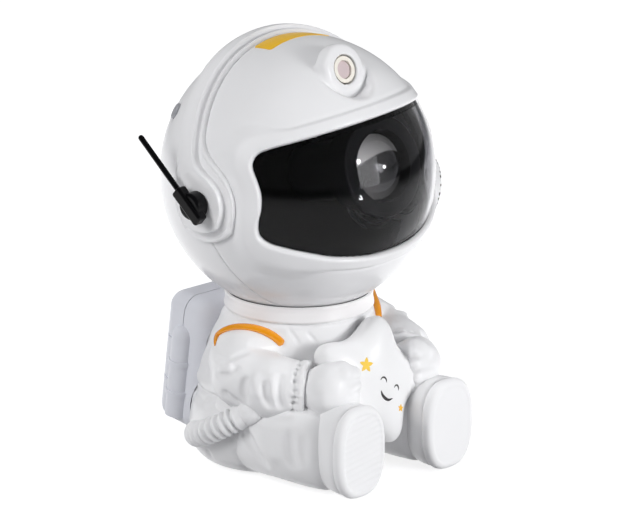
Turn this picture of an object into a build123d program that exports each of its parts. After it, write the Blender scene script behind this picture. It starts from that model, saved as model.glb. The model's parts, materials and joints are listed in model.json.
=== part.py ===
"""Seated astronaut night-light projector, modelled as the separate pieces it is assembled from.

Units are millimetres. +Z is up and the figure faces -Y, so its right hand is on the -X side.
The head is drawn upright about the origin and then set on the neck by head_place().
"""
from build123d import *
from math import cos, degrees, radians, sin, sqrt
import os

# ---- head ----
HEAD_R = 65.0            # outer radius of the helmet ball
WALL = 2.4               # moulded wall of the shells
HEAD_PITCH = 17.7        # face turned up from level, degrees
HEAD_ROLL = 4.3          # head leaning to its right, degrees
RUN_FIT = 0.05           # radial clearance of a running fit
AIR_GAP = 0.3            # clearance between pieces that pass each other

VISOR_INSET = 0.9        # visor surface below the helmet surface
VISOR_T = 1.5
FRAME_T = 2.0            # retaining frame behind the visor
RELIEF = 1.5             # how far the face surround stands forward of the ball

BAND_HALF = 5.6          # half width of the raised headphone band
BAND_LIP = 2.8           # width of the lower lip each side of it
BAND_H = 4.9             # height of the band over the ball
EAR_AZ = 86.5            # right ear pod direction, round from the face
EAR_ELEV = 2.0
EAR_R = 17.8             # low step of the right ear pod
EAR_TOP_R = 13.2         # raised middle of the right ear pod
EAR_H = 3.6              # height of the raised middle over the ball's pole

ANT_KNOB_R = 6.35
ANT_KNOB_H = 6.2
ANT_ARM_L = 19.0
ANT_ARM_W = 6.0
ANT_ROD_R = 1.35
ANT_ROD_L = 30.5         # rod length clear of its holder
ANT_LEAN = 30.0          # rod leaning back from upright, degrees
ANT_PIN_R = 2.0

SPK_AZ = 80.0            # speaker pod direction, round from the face to the left
SPK_DIP = 22.0           # and below the ear line
SPK_R = 17.5
SPK_MESH_R = 15.0
SPK_TOP = 9.6            # dome apex over the ball
HOLE_R = 0.65
HOLE_PITCH = 2.4

BOSS_Y = 50.0            # face of the forehead boss ahead of the ball centre
BOSS_Z = 43.0            # and above it
BOSS_R = 12.4
BOSS_DRAFT = 1.6         # how much the recess below the boss opens towards its mouth
LASER_BORE_R = 7.0
LASER_RING_R = 6.2
LASER_LENS_R = 4.3
LASER_TUBE_R = 6.0

LENS_DIP = 4.0           # optical axis below the face axis, degrees
LENS_R = 15.0
LENS_SAG = 9.5
LENS_Y = 45.0            # flat back of the lens ahead of the ball centre
BARREL_R = 20.0
FLANGE_R = 23.6
FLANGE_Y = 57.0
NECKED_R = 14.0          # narrow rear part of the barrel
DISC_R = 18.0            # rippled disc
DISC_OFFSET = 19.8
DISC_Y = 32.0
CHASSIS_Y = 7.0          # front face of the chassis plate
CHASSIS_T = 2.5

BUTTON_AZ = 121.0
BUTTON_ELEV = 42.0
BUTTON_R = 4.0
BUTTON_TRAVEL = 1.0

# ---- neck ----
SEAT_R = 32.0            # circle on which the ball rests
SEAT_Z = 79.4
COLLAR_R = 35.0
COLLAR_TOP = 81.0
COLLAR_LOW = 73.0
GLIDE_T = 2.9
MAGNET_R = 10.0
PLATE_Z = 62.0

# ---- body ----
PAD_T = 1.0
COVER_T = 2.4
HIP_W = 56.0             # half width of the body at the hips
HIP_D = 46.0             # half depth there
CHEST_W = 43.0
CHEST_D = 38.0
WAIST_Z = 40.0
SPLIT_Y = 8.0            # joint between the front and rear body shells
SHOULDER_X = 36.5
SHOULDER_Y = -3.0
SHOULDER_Z = 52.3
SHOULDER_R = 17.6
PIPE_R = 1.9
PIPE_YAW = 29.0          # piping plane turned out from fore-and-aft, degrees
ELBOW = (46.5, -10.0, 48.5)
FOREARM = (41.5, -24.0, 45.5)
CUFF = (32.5, -37.0, 44.9)
SLEEVE_R = 14.4
CUFF_R = 12.6
HAND = (29.0, -47.5, 45.8)
HAND_R = 12.0
FINGER_R = 3.7
LEG_X = 30.0
LEG_W = 44.0
LEG_H = 43.5
LEG_END = 54.0           # hem of the trouser leg ahead of the origin
SOLE_X = 29.6
SOLE_Y = 71.6            # outer face of the soles ahead of the origin
SOLE_W = 31.0
SOLE_H = 43.0
SOLE_T = 6.4
SOLE_EDGE = 2.4          # rounding round the outer face
TREAD_DEPTH = 0.9
TREADS = 12
STAR_Y = -45.0
STAR_Z = 43.4
STAR_R = 36.0
STAR_WAIST = 21.5
STAR_T = 21.0
STAR_LEAN = 14.0
STAR_TURN = 19.5
STAR_FACING = -10.0      # turned towards the right hand

PACK_W = 80.0
PACK_Z0 = 10.0
PACK_Z1 = 76.0
PACK_Y0 = 26.0
PACK_Y1 = 54.0
PACK_LEAN = 8.0
PACK_EDGE = 8.0
TANK_R = 5.6
TANK_Z0 = 16.0
TANK_Z1 = 56.0
HOSE_R = 4.9
HOSE_RIB_R = 6.1
HOSE_RIBS = 10

HEAD_Z = SEAT_Z + sqrt(HEAD_R ** 2 - SEAT_R ** 2)
INNER_R = HEAD_R - WALL


# ---- helpers ----
def head_place():
    """Where the upright head stands in the finished figure."""
    return Pos(0, 0, HEAD_Z) * Rot(0, -HEAD_ROLL, 0) * Rot(-HEAD_PITCH, 0, 0)


def direction(az, elev):
    """Unit vector in the head frame: az from the face towards its right ear."""
    a = radians(az)
    e = radians(elev)
    return Vector(-sin(a) * cos(e), -cos(a) * cos(e), sin(e))


def outward(az, elev):
    """Plane through the head centre whose Z points out along a direction."""
    d = direction(az, elev)
    return Plane(origin=(0, 0, 0), x_dir=d.cross(Vector(0, 0, 1)), z_dir=d)


def post(r, y0, y1, x=0.0, z=0.0):
    """Cylinder along Y between two stations."""
    return Pos(x, (y0 + y1) / 2, z) * Rot(90, 0, 0) * Cylinder(r, abs(y1 - y0))


def block(x0, x1, y0, y1, z0, z1):
    """Box from its two corners."""
    return Pos((x0 + x1) / 2, (y0 + y1) / 2, (z0 + z1) / 2) * Box(x1 - x0, y1 - y0, z1 - z0)


def ellipsoid(rx, ry, rz):
    """Ball scaled along each axis."""
    return scale(Sphere(1), by=(rx, ry, rz))


def limb(points, radii):
    """Balls at the points joined by tapering tubes."""
    form = Pos(*points[0]) * Sphere(radii[0])
    for i in range(1, len(points)):
        a = Vector(*points[i - 1])
        b = Vector(*points[i])
        run = b - a
        mid = Plane(origin=(a + b) * 0.5, z_dir=run)
        if abs(radii[i] - radii[i - 1]) < 0.01:
            tube = Cylinder(radii[i], run.length)
        else:
            tube = Cone(radii[i - 1], radii[i], run.length)
        form = form + mid * tube + Pos(*points[i]) * Sphere(radii[i])
    return form


def mirrored(point, side):
    """Point of the left limb (side 1) or the right limb (side -1)."""
    return (side * point[0], point[1], point[2])


# ---- helmet ----
def face_prism(grow=0.0):
    """Prism along Y through the outline of the visor opening, grown by some degrees."""
    half = [
        (0, 17 + grow), (20, 17 + grow), (40, 17 + grow), (51, 17 + grow),
        (57 + grow * 0.7, 16 + grow * 0.7), (60 + grow, 12), (59.4 + grow, 6), (59.2 + grow, 0),
        (61 + grow, -6), (64 + grow, -11), (65.6 + grow, -15.5), (64.6 + grow, -19 - grow * 0.3),
        (61 + grow * 0.6, -22.5 - grow * 0.6), (53, -27.2 - grow), (44, -32 - grow),
        (35, -36 - grow), (17, -40.5 - grow), (0, -41.5 - grow),
    ]
    right = []
    for az, el in half:
        d = direction(az, el)
        right.append(Vector(d.X * HEAD_R, 0, d.Z * HEAD_R))
    left = [Vector(-v.X, 0, v.Z) for v in reversed(right)]
    across = Vector(1, 0, 0)
    halves = [
        Edge.make_spline(right, tangents=[across * -1, across]),
        Edge.make_spline(left, tangents=[across, across * -1]),
    ]
    return extrude(Face(Wire(halves)), 1.2 * HEAD_R, dir=(0, -1, 0))


def front_half():
    """Everything ahead of the helmet's joint plane."""
    return block(-99, 99, -99, 0, -99, 99)


def laser_place():
    """Forehead boss frame: origin on its face, -Y out along the beam."""
    return Pos(0, -BOSS_Y, BOSS_Z)


def laser_boss():
    """Flat-faced boss that stands out of the forehead above and lies in a recess below."""
    body = post(BOSS_R, 0, 9)
    top = body.edges().filter_by(GeomType.CIRCLE).sort_by(Axis.Y)[0]
    return laser_place() * fillet(top, 2.2)


def boss_socket():
    """Wall around the sunk part of the boss, cut off at the ball."""
    cup = post(BOSS_R + BOSS_DRAFT + WALL, -HEAD_R, 9)
    return (laser_place() * cup) & Sphere(HEAD_R)


def boss_recess():
    """Flared hole in front of the boss face."""
    depth = HEAD_R - BOSS_Y
    flare = Cone(BOSS_R + BOSS_DRAFT, BOSS_R, depth)
    return laser_place() * Pos(0, -depth / 2, 0) * Rot(-90, 0, 0) * flare


def face_surround():
    """Raised soft frame round the visor, fading out towards the ears."""
    lifted = Pos(0, -RELIEF, 0) * Sphere(HEAD_R)
    return lifted & face_prism(4.6)


def button_plane(side):
    """Frame of a rear button, Z out through the shell."""
    return outward(side * BUTTON_AZ, BUTTON_ELEV)


def speaker_plane():
    """Frame of the speaker pod, Z out through the shell."""
    return outward(-SPK_AZ, -SPK_DIP)


def helmet_front_shell():
    surround = face_surround() - speaker_plane() * Pos(0, 0, HEAD_R) * Cylinder(SPK_R, 30)
    ball = Sphere(HEAD_R) + surround
    shell = (ball & front_half()) - Sphere(INNER_R) - face_prism()
    shell = shell + boss_socket() - boss_recess() + laser_boss()
    shell = shell - laser_place() * post(LASER_BORE_R, -2, 26)
    shell = shell - speaker_plane() * Pos(0, 0, HEAD_R) * Cylinder(SPK_MESH_R - 3, 20)
    shell = shell - ear_plane() * Pos(0, 0, HEAD_R) * Cylinder(ANT_PIN_R + 1.0, 20)
    return shell


def helmet_rear_shell():
    shell = (Sphere(HEAD_R) - Sphere(INNER_R)) - front_half()
    shell = shell - ear_plane() * Pos(0, 0, HEAD_R) * Cylinder(ANT_PIN_R + 1.0, 20)
    shell = shell - speaker_plane() * Pos(0, 0, HEAD_R) * Cylinder(SPK_MESH_R - 3, 20)
    for side in (1, -1):
        shell = shell - button_plane(side) * Pos(0, 0, HEAD_R) * Cylinder(BUTTON_R + AIR_GAP, 12)
    shell = shell - usb_opening()
    shell = shell - vent_slots()
    return shell


def usb_opening():
    """Slot the cable plug goes through, low on the back."""
    z = -0.48 * HEAD_R
    slot = block(-4.9, 4.9, 0, HEAD_R + 5, z - 1.9, z + 1.9)
    return fillet(slot.edges().filter_by(Axis.Y), 1.8)


def vent_slots():
    """Cooling slots across the back of the head."""
    slots = []
    for i in range(5):
        z = 0.0 + (i - 2) * 5.0
        half = 13.0 - abs(i - 2) * 2.2
        slot = block(-half, half, HEAD_R - 9, HEAD_R + 3, z - 0.8, z + 0.8)
        slots.append(fillet(slot.edges().filter_by(Axis.Y), 0.75))
    return slots


def band_angle_end():
    """How far down the left side the band runs before the speaker pod."""
    return SPK_DIP - degrees(SPK_R / HEAD_R) + 3.0


def headphone_band():
    """Arched band over the top from the right ear pod to the speaker pod."""
    r0 = HEAD_R - 3
    low = HEAD_R + 0.42 * BAND_H
    top = HEAD_R + BAND_H
    edge = BAND_HALF + BAND_LIP
    outline = Polyline(
        (r0, -edge), (low - 0.5, -edge), (low, -edge + 0.6), (low, -BAND_HALF - 0.9),
        (low - 0.9, -BAND_HALF - 0.6), (low - 0.9, -BAND_HALF), (top - 1.3, -BAND_HALF + 0.2),
        (top - 0.35, -BAND_HALF + 1.0), (top, -BAND_HALF + 2.4), (top, BAND_HALF - 2.4),
        (top - 0.35, BAND_HALF - 1.0), (top - 1.3, BAND_HALF - 0.2), (low - 0.4, BAND_HALF),
        (low - 0.4, BAND_HALF + 0.9), (low, BAND_HALF + 1.2), (low, edge - 0.6),
        (low - 0.5, edge), (r0, edge), close=True,
    )
    face = make_face(outline)
    start = -3.0
    sweep_angle = 180.0 + band_angle_end() - start
    ring = revolve(Rot(0, start, 0) * face, Axis.Y, sweep_angle)
    ring = Rot(0, 180, 0) * ring - Sphere(HEAD_R) - ear_pod_form()
    ring = ring - ear_plane() * Pos(0, 0, HEAD_R) * Cylinder(EAR_TOP_R, 30)
    return ring - speaker_plane() * Pos(0, 0, HEAD_R) * Cylinder(SPK_R, 30)


def ear_plane():
    """Frame of the right ear pod, Z out through the shell."""
    return outward(EAR_AZ, EAR_ELEV)


def ear_pod_form():
    """Right ear pod as a plain stepped solid."""
    low = HEAD_R + 0.30 * EAR_H
    top = HEAD_R + EAR_H
    outline = Polyline(
        (0, HEAD_R - 8), (EAR_R, HEAD_R - 8), (EAR_R, low - 2.6), (EAR_R - 0.5, low - 1.3),
        (EAR_R - 1.8, low - 0.4), (EAR_TOP_R + 0.9, low), (EAR_TOP_R + 0.1, low + 0.5),
        (EAR_TOP_R, top - 1.2), (EAR_TOP_R - 0.5, top - 0.4), (EAR_TOP_R - 1.5, top), (0, top),
        close=True,
    )
    pod = revolve(Plane.XZ * make_face(outline), Axis.Z, 360)
    return ear_plane() * pod


def right_ear_pod():
    pin = ear_plane() * Pos(0, 0, HEAD_R) * Cylinder(ANT_PIN_R + RUN_FIT, 30)
    return ear_pod_form() - Sphere(HEAD_R) - pin


def ball_arc(r0, r1):
    """Arc on the ball between two distances from the axis of a pod."""
    spots = [(r, sqrt(HEAD_R ** 2 - r * r)) for r in (r0, (r0 + r1) / 2, r1)]
    return ThreePointArc(*spots)


def left_speaker_pod():
    """Low ring that carries the speaker mesh."""
    top = HEAD_R + 0.42 * SPK_TOP
    inner = SPK_MESH_R - 1.6
    under = ball_arc(inner, SPK_R)
    rest = Polyline(
        under @ 1, (SPK_R, top - 1.4), (SPK_R - 0.4, top - 0.4), (SPK_R - 1.4, top),
        (SPK_MESH_R, top), (SPK_MESH_R, top - 1.5), (inner, top - 1.5), under @ 0,
    )
    ring = revolve(Plane.XZ * make_face(Curve() + [under, rest]), Axis.Z, 360)
    return speaker_plane() * ring


def speaker_mesh():
    """Perforated dome."""
    seat = HEAD_R + 0.42 * SPK_TOP - 1.5
    sag = HEAD_R + SPK_TOP - seat
    ball = (SPK_MESH_R ** 2 + sag ** 2) / (2 * sag)
    centre = seat + sag - ball
    dome = Pos(0, 0, centre) * Sphere(ball) - Pos(0, 0, centre) * Sphere(ball - 1.3)
    dome = dome & Pos(0, 0, seat + 20) * Cylinder(SPK_MESH_R, 40)
    holes = []
    rows = int(SPK_MESH_R / HOLE_PITCH)
    for i in range(-rows, rows + 1):
        for j in range(-rows - 3, rows + 4):
            x = (j + 0.5 * (i % 2)) * HOLE_PITCH
            y = i * HOLE_PITCH * 0.866
            if x * x + y * y < (SPK_MESH_R - 2.2) ** 2:
                holes.append(Pos(x, y, seat + sag) * Cylinder(HOLE_R, 30))
    return speaker_plane() * (dome - holes)


def speaker_driver():
    """Small loudspeaker behind the mesh."""
    rim = SPK_MESH_R - 1.0
    front = sqrt(INNER_R ** 2 - rim ** 2)
    cone = Pos(0, 0, front - 1.0) * Cylinder(rim, 2.0)
    basket = Pos(0, 0, front - 5.0) * Cone(6.5, rim - 1.5, 6.0)
    magnet = Pos(0, 0, front - 10.0) * Cylinder(7.5, 5.0)
    dish = Pos(0, 0, front - 1.2) * Cone(3.0, rim - 2.5, 2.6)
    return speaker_plane() * (cone + basket + magnet - dish)


def visor():
    top = HEAD_R - VISOR_INSET
    return (Sphere(top) - Sphere(top - VISOR_T)) & face_prism()


def visor_frame():
    """Ring behind the visor that holds it to the front shell."""
    back = HEAD_R - VISOR_INSET - VISOR_T
    ring = Sphere(back) - Sphere(back - FRAME_T) - face_prism(-2.6)
    ring = ring & face_prism(2.2) & block(-99, 99, -99, -0.26 * HEAD_R, -99, 99)
    ring = ring - lens_barrel() - speaker_driver()
    return ring.solids().sort_by(SortBy.VOLUME)[-1]


def forehead_patch():
    """Thin plain sticker on the crown in front of the band."""
    y1 = -(BAND_HALF + BAND_LIP + 1.2)
    area = block(-0.23 * HEAD_R, 0.36 * HEAD_R, y1 - 11.0, y1, 0, 99)
    area = fillet(area.edges().filter_by(Axis.Z), 1.6)
    return (Sphere(HEAD_R + 0.2) - Sphere(HEAD_R)) & area


def laser_ring():
    """Light ring seated in the boss around the small window."""
    ring = post(LASER_RING_R, 0.8, 5.0) + post(LASER_BORE_R, 5.0, 11.0)
    return laser_place() * (ring - post(LASER_LENS_R, 0, 12))


def laser_window():
    dome = post(LASER_LENS_R, 1.6, 3.8)
    return laser_place() * fillet(dome.edges().filter_by(GeomType.CIRCLE).sort_by(Axis.Y)[0], 0.8)


# ---- optics in the head ----
def lens_place():
    """Frame of the main optic: -Y out through the visor."""
    return Rot(LENS_DIP, 0, 0)


def lens_barrel():
    rim = post(FLANGE_R, -FLANGE_Y + 3.0, -FLANGE_Y)
    rim = fillet(rim.edges().filter_by(GeomType.CIRCLE).sort_by(Axis.Y)[0], 1.0)
    body = rim + post(BARREL_R, -LENS_Y + 5, -FLANGE_Y + 3.0) + post(NECKED_R, -CHASSIS_Y - 1, -LENS_Y + 5)
    body = body - post(LENS_R + 1.6, -LENS_Y - 3.0, -FLANGE_Y - 1)
    body = body - post(LENS_R, -LENS_Y, -FLANGE_Y - 1)
    body = body - post(NECKED_R - 1.8, -CHASSIS_Y, -FLANGE_Y)
    reach = DISC_R + 1.2
    window = post(reach, -DISC_Y - 2.2, -DISC_Y + 2.2, DISC_OFFSET * 0.707, -DISC_OFFSET * 0.707)
    return lens_place() * (body - window) & block(-99, 99, -99, -CHASSIS_Y, -99, 99)


def nebula_lens():
    """Thick dome lens."""
    ball = (LENS_R ** 2 + LENS_SAG ** 2) / (2 * LENS_SAG)
    dome = Pos(0, -LENS_Y - LENS_SAG + ball, 0) * Sphere(ball)
    dome = dome & post(LENS_R, -LENS_Y, -LENS_Y - LENS_SAG - 1)
    return lens_place() * dome


def disc_centre():
    """Spindle of the rippled disc in the optic frame."""
    return (DISC_OFFSET * 0.707, -DISC_OFFSET * 0.707)


def ripple_disc():
    """Clear disc whose waves make the moving cloud effect, on its hub and spindle."""
    x, z = disc_centre()
    disc = post(DISC_R, -DISC_Y, -DISC_Y + 1.2, x, z)
    waves = []
    for i in range(4):
        r = 5.6 + i * 3.1
        waves.append(Pos(x, -DISC_Y, z) * Rot(90, 0, 0) * Torus(r, 0.7))
    hub = post(3.0, -DISC_Y, -DISC_Y + 3.4, x, z)
    spindle = post(1.0, -DISC_Y, -DISC_Y + 12.0, x, z)
    return lens_place() * (disc + waves + hub + spindle)


def ripple_motor():
    """Small geared motor beside the barrel."""
    x, z = disc_centre()
    can = post(5.0, -DISC_Y + 4.4, -DISC_Y + 18.0, x, z) + post(2.2, -DISC_Y + 3.9, -DISC_Y + 4.6, x, z)
    can = can - post(1.0 + RUN_FIT, -DISC_Y, -DISC_Y + 13.0, x, z)
    foot = post(3.2, -DISC_Y + 17.5, 4, x, z)
    return (lens_place() * (can + foot)) & block(-99, 99, -99, -CHASSIS_Y, -99, 99)


def chassis_plate():
    """Round plate across the head that carries the optics and the board."""
    plate = post(HEAD_R, -CHASSIS_Y, -CHASSIS_Y + CHASSIS_T) & Sphere(INNER_R)
    plate = plate - [post(5.0, -20, 20, x, z) for x in (-38, 38) for z in (-30, 30)]
    plate = plate - speaker_plane() * Pos(0, 0, HEAD_R) * Cylinder(SPK_MESH_R + 1.5, HEAD_R)
    plate = plate - block(-99, 99, -99, 99, -99, -0.84 * INNER_R)
    standoffs = [post(2.6, -CHASSIS_Y + CHASSIS_T, 14.0, x, z) for x in (-24, 24) for z in (-22, 22)]
    tube_z = BOSS_Z - LASER_TUBE_R
    cradle = block(-6, 3.4, -28, -CHASSIS_Y, NECKED_R + 1.0, tube_z + 3.0)
    cradle = cradle - laser_place() * post(LASER_TUBE_R, -5, 80)
    plate = plate.solids().sort_by(SortBy.VOLUME)[-1]
    return plate + standoffs + cradle


def led_board():
    board = post(11.6, -CHASSIS_Y - 1.6, -CHASSIS_Y)
    return board - [post(1.2, -20, 0, x, 0) for x in (-9, 9)]


def led_array():
    """Four emitters on one carrier."""
    y = -CHASSIS_Y - 1.6
    carrier = block(-4.5, 4.5, y - 0.8, y, -4.5, 4.5)
    domes = [Pos(x, y - 0.8, z) * Sphere(1.7) for x in (-2.1, 2.1) for z in (-2.1, 2.1)]
    return carrier + domes - block(-9, 9, y, y + 9, -9, 9)


def heat_sink():
    """Finned block behind the emitters."""
    y0 = -CHASSIS_Y + CHASSIS_T
    sink = block(-15, 15, y0, y0 + 3.0, -15, 15)
    fins = [block(x - 0.6, x + 0.6, y0 + 2, y0 + 14.0, -15, 15) for x in range(-14, 15, 4)]
    return sink + fins


def laser_module():
    """Brass laser tube on the chassis cradle."""
    tube = post(LASER_TUBE_R, 18.0, 38.0) - post(2.0, 17.0, 26.0)
    return laser_place() * chamfer(tube.edges().filter_by(GeomType.CIRCLE), 0.4)


def grating_centre():
    """Spindle of the grating wheel beside the beam, in the laser frame."""
    return 8.0, -6.2


def grating_wheel():
    """Thin patterned wheel that spreads the beam into points, on its spindle."""
    x, z = grating_centre()
    wheel = post(8.4, 13.6, 14.6, x, z) + post(2.2, 13.6, 16.6, x, z) + post(0.8, 13.6, 24.0, x, z)
    notches = [Pos(x, 14.1, z) * Rot(0, a, 0) * Pos(8.4, 0, 0) * Box(1.2, 3, 1.2) for a in range(0, 360, 30)]
    return laser_place() * (wheel - notches)


def grating_motor():
    x, z = grating_centre()
    can = post(3.8, 17.2, 27.0, x, z) - post(0.8 + RUN_FIT, 10, 24.6, x, z)
    arm = block(x - 2.0, x + 2.5, 26.0, 60.0, z - 2.0, z + 2.0)
    whole = laser_place() * (can + arm)
    return whole & block(-99, 99, -99, -CHASSIS_Y, -99, 99)


def main_board():
    """Control board with its larger components."""
    board = block(-30, 30, 14.0, 15.6, -27, 27)
    board = fillet(board.edges().filter_by(Axis.Y), 2.0)
    parts = block(-9, 9, 15.6, 18.0, -7, 9) + block(12, 24, 15.6, 19.6, 6, 16)
    parts = parts + block(-25, -13, 15.6, 17.4, 4, 14) + post(4.0, 15.6, 25.0, -18, -10)
    parts = parts + post(3.0, 15.6, 22.0, -8, -16) + block(11, 26, 15.6, 21.0, -19, -9)
    return board + parts


def usb_socket():
    """Charging-type socket behind the slot in the rear shell."""
    z = -0.48 * HEAD_R
    depth = sqrt(INNER_R ** 2 - (abs(z) + 1.8) ** 2 - 25) - 0.3
    shell = block(-4.6, 4.6, depth - 9.0, depth, z - 1.7, z + 1.7)
    shell = fillet(shell.edges().filter_by(Axis.Y), 1.5)
    hollow = block(-4.1, 4.1, depth - 8.2, depth + 1, z - 1.25, z + 1.25)
    tongue = block(-3.2, 3.2, depth - 8.6, depth - 1.5, z - 0.35, z + 0.35)
    bracket = block(-6, 6, 15.6, depth - 7.0, z - 3.3, z - 1.7)
    riser = block(-6, 6, 15.6, 17.6, z - 3.3, -25)
    return shell - hollow + tongue + bracket + riser


def keeper_plate():
    """Steel cap inside the bottom of the helmet that the neck magnet holds."""
    cap = (Sphere(INNER_R) - Sphere(INNER_R - 1.6)) & Pos(0, 0, -HEAD_R) * Cylinder(30, HEAD_R)
    return cap - block(-1.5, 1.5, -1.5, 1.5, -99, 0)


def button(side):
    """Rear push button with its inner stop flange."""
    reach = HEAD_R + 0.9
    cap = Pos(0, 0, reach - 4) * Cylinder(BUTTON_R, 8)
    cap = fillet(cap.edges().filter_by(GeomType.CIRCLE).sort_by(Axis.Z)[-1], 1.0)
    stop = Pos(0, 0, INNER_R - 1.6) * Cylinder(BUTTON_R + 1.4, 1.4)
    stem = Pos(0, 0, INNER_R - 4.5) * Cylinder(1.6, 6.0)
    return button_plane(side) * (cap + stop + stem)


# ---- antenna ----
def antenna_frame():
    """Frame of the antenna on the right ear: Z out, X along the rod."""
    lean = radians(ANT_LEAN)
    out = direction(EAR_AZ, EAR_ELEV)
    back = out.cross(Vector(0, 0, 1)).normalized()
    rise = back.cross(out)
    return Plane(origin=out * (HEAD_R + EAR_H), x_dir=rise * cos(lean) + back * sin(lean), z_dir=out)


def antenna_knob():
    """Turning knob with the block that grips the rod."""
    knob = Pos(0, 0, 0.2 + ANT_KNOB_H / 2) * Cylinder(ANT_KNOB_R, ANT_KNOB_H)
    knob = fillet(knob.edges().filter_by(GeomType.CIRCLE).sort_by(Axis.Z)[-1], 1.5)
    grip = block(-ANT_ARM_L * 0.47, ANT_ARM_L * 0.53, -ANT_ARM_W / 2, ANT_ARM_W / 2, 2.2, ANT_KNOB_H + 1.6)
    grip = fillet(grip.edges(), 1.3)
    pin = Pos(0, 0, -2.2) * Cylinder(ANT_PIN_R, 5.2)
    bore = Pos(ANT_ARM_L * 0.53, 0, rod_height()) * Rot(0, 90, 0) * Cylinder(ANT_ROD_R, 12.0)
    return antenna_frame() * (knob + grip + pin - bore)


def rod_height():
    """Height of the rod's axis over the ear pod face."""
    return (2.2 + ANT_KNOB_H + 1.6) / 2


def antenna_rod():
    x0 = ANT_ARM_L * 0.53 - 6.0
    rod = Pos(x0 + (ANT_ROD_L + 6) / 2, 0, rod_height()) * Rot(0, 90, 0) * Cylinder(ANT_ROD_R, ANT_ROD_L + 6)
    tip = Pos(x0 + ANT_ROD_L + 6, 0, rod_height()) * Sphere(ANT_ROD_R)
    return antenna_frame() * (rod + tip)


# ---- neck ----
def neck_collar():
    flange = Pos(0, 0, (COLLAR_LOW + COLLAR_TOP) / 2) * Cylinder(COLLAR_R, COLLAR_TOP - COLLAR_LOW)
    flange = fillet(flange.edges().filter_by(GeomType.CIRCLE), 2.2)
    skirt = Pos(0, 0, (PLATE_Z + COLLAR_LOW + 1) / 2) * Cylinder(SEAT_R + 1.0, COLLAR_LOW + 1 - PLATE_Z)
    ring = flange + skirt
    ring = ring - Pos(0, 0, (SEAT_Z + 20) - 5) * Cylinder(glide_outer() + RUN_FIT, 40)
    ring = ring - Pos(0, 0, PLATE_Z) * Cylinder(SEAT_R - 2.0, 60)
    return ring - Pos(0, 0, HEAD_Z) * Sphere(HEAD_R + 0.4)


def glide_outer():
    return SEAT_R + GLIDE_T / 2


def neck_glide_ring():
    """Slippery ring the ball rests on. It turns in the collar."""
    low = SEAT_Z - 5 + RUN_FIT
    ring = Pos(0, 0, low + 4) * (Cylinder(glide_outer(), 8) - Cylinder(SEAT_R - GLIDE_T / 2, 9))
    return ring - Pos(0, 0, HEAD_Z) * Sphere(HEAD_R + RUN_FIT)


def neck_plate():
    """Shelf across the neck with the cup for the magnet."""
    shelf = Pos(0, 0, PLATE_Z + 1.5) * Cylinder(SEAT_R - 2.0, 3.0)
    cup = Pos(0, 0, PLATE_Z + 4.0) * Cylinder(MAGNET_R + 1.6, 6.0)
    well = Pos(0, 0, PLATE_Z + 7.0) * Cylinder(MAGNET_R, 8.0)
    return shelf + cup - well


def neck_magnet():
    return Pos(0, 0, PLATE_Z + 5.5) * Cylinder(MAGNET_R, 5.0)


# ---- body ----
def torso_form(shrink=0.0):
    """Body of the suit as one smooth solid, hips below and jacket above."""
    stations = [
        (PAD_T, 0.83 * HIP_W, 0.83 * HIP_D, 3.0), (7.0, 0.95 * HIP_W, 0.95 * HIP_D, 2.0),
        (18.0, HIP_W, HIP_D, 1.0), (30.0, 0.95 * HIP_W, 0.955 * HIP_D, 1.5),
        (WAIST_Z, 1.07 * CHEST_W, 1.03 * CHEST_D, 3.5), (WAIST_Z + 10, 1.02 * CHEST_W, CHEST_D, 4.5),
        (WAIST_Z + 20, 0.95 * CHEST_W, 0.97 * CHEST_D, 4.0), (COLLAR_LOW, COLLAR_R, COLLAR_R, 0.0),
    ]
    faces = []
    for z, a, b, y in stations:
        faces.append(Plane.XY.offset(z) * Pos(0, y) * Ellipse(a - shrink, b - shrink))
    return loft(faces)


def shoulder_ball(side, shrink=0.0):
    return Pos(side * SHOULDER_X, SHOULDER_Y, SHOULDER_Z) * Sphere(SHOULDER_R - shrink)


def torso_outer():
    """Outside of the body, shoulders included."""
    return torso_form() + shoulder_ball(1) + shoulder_ball(-1)


def torso_shell():
    """Hollow body open at the neck and closed below by the base cover."""
    hollow = torso_form(WALL) + shoulder_ball(1, WALL) + shoulder_ball(-1, WALL)
    shell = torso_outer() - hollow
    shell = shell - Pos(0, 0, COLLAR_LOW) * Cylinder(SEAT_R + 1.0, 24)
    return shell - Pos(0, 3.0, PAD_T) * base_oval(0.0, 12.0)


def base_oval(shrink, height):
    """Oval slab the size of the bottom opening, centred on its own height."""
    face = Ellipse(0.83 * HIP_W - 3.0 - shrink, 0.83 * HIP_D - 3.0 - shrink)
    return extrude(face, height / 2, both=True)


def torso_front_shell():
    half = torso_shell() & block(-150, 150, -150, SPLIT_Y, -10, 150)
    return half.solids().sort_by(SortBy.VOLUME)[-1]


def torso_rear_shell():
    half = torso_shell() & block(-150, 150, SPLIT_Y, 150, -10, 150)
    return half.solids().sort_by(SortBy.VOLUME)[-1]


def base_cover():
    """Bottom plate with a rib that carries the weight."""
    plate = Pos(0, 3.0, PAD_T + COVER_T / 2) * base_oval(0.0, COVER_T)
    rib = Pos(0, 3.0, PAD_T + COVER_T + 1.0) * base_oval(7.0, 2.0)
    return plate + rib - Pos(0, 3.0, PAD_T + COVER_T + 1.0) * base_oval(9.0, 2.0)


def base_pad():
    return Pos(0, 3.0, PAD_T / 2) * base_oval(5.0, PAD_T)


def ballast_weight():
    """Steel plate that keeps the figure from tipping."""
    return Pos(0, 3.0, PAD_T + COVER_T + 3.0) * base_oval(9.0, 6.0)


def sleeve_form(side, shrink=0.0):
    top = (SHOULDER_X + 3.5, SHOULDER_Y + 1.0, SHOULDER_Z)
    points = [mirrored(top, side), mirrored(ELBOW, side), mirrored(FOREARM, side), mirrored(CUFF, side)]
    radii = [SLEEVE_R + 0.8, SLEEVE_R, SLEEVE_R + 0.5, CUFF_R]
    return limb(points, [r - shrink for r in radii])


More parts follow.
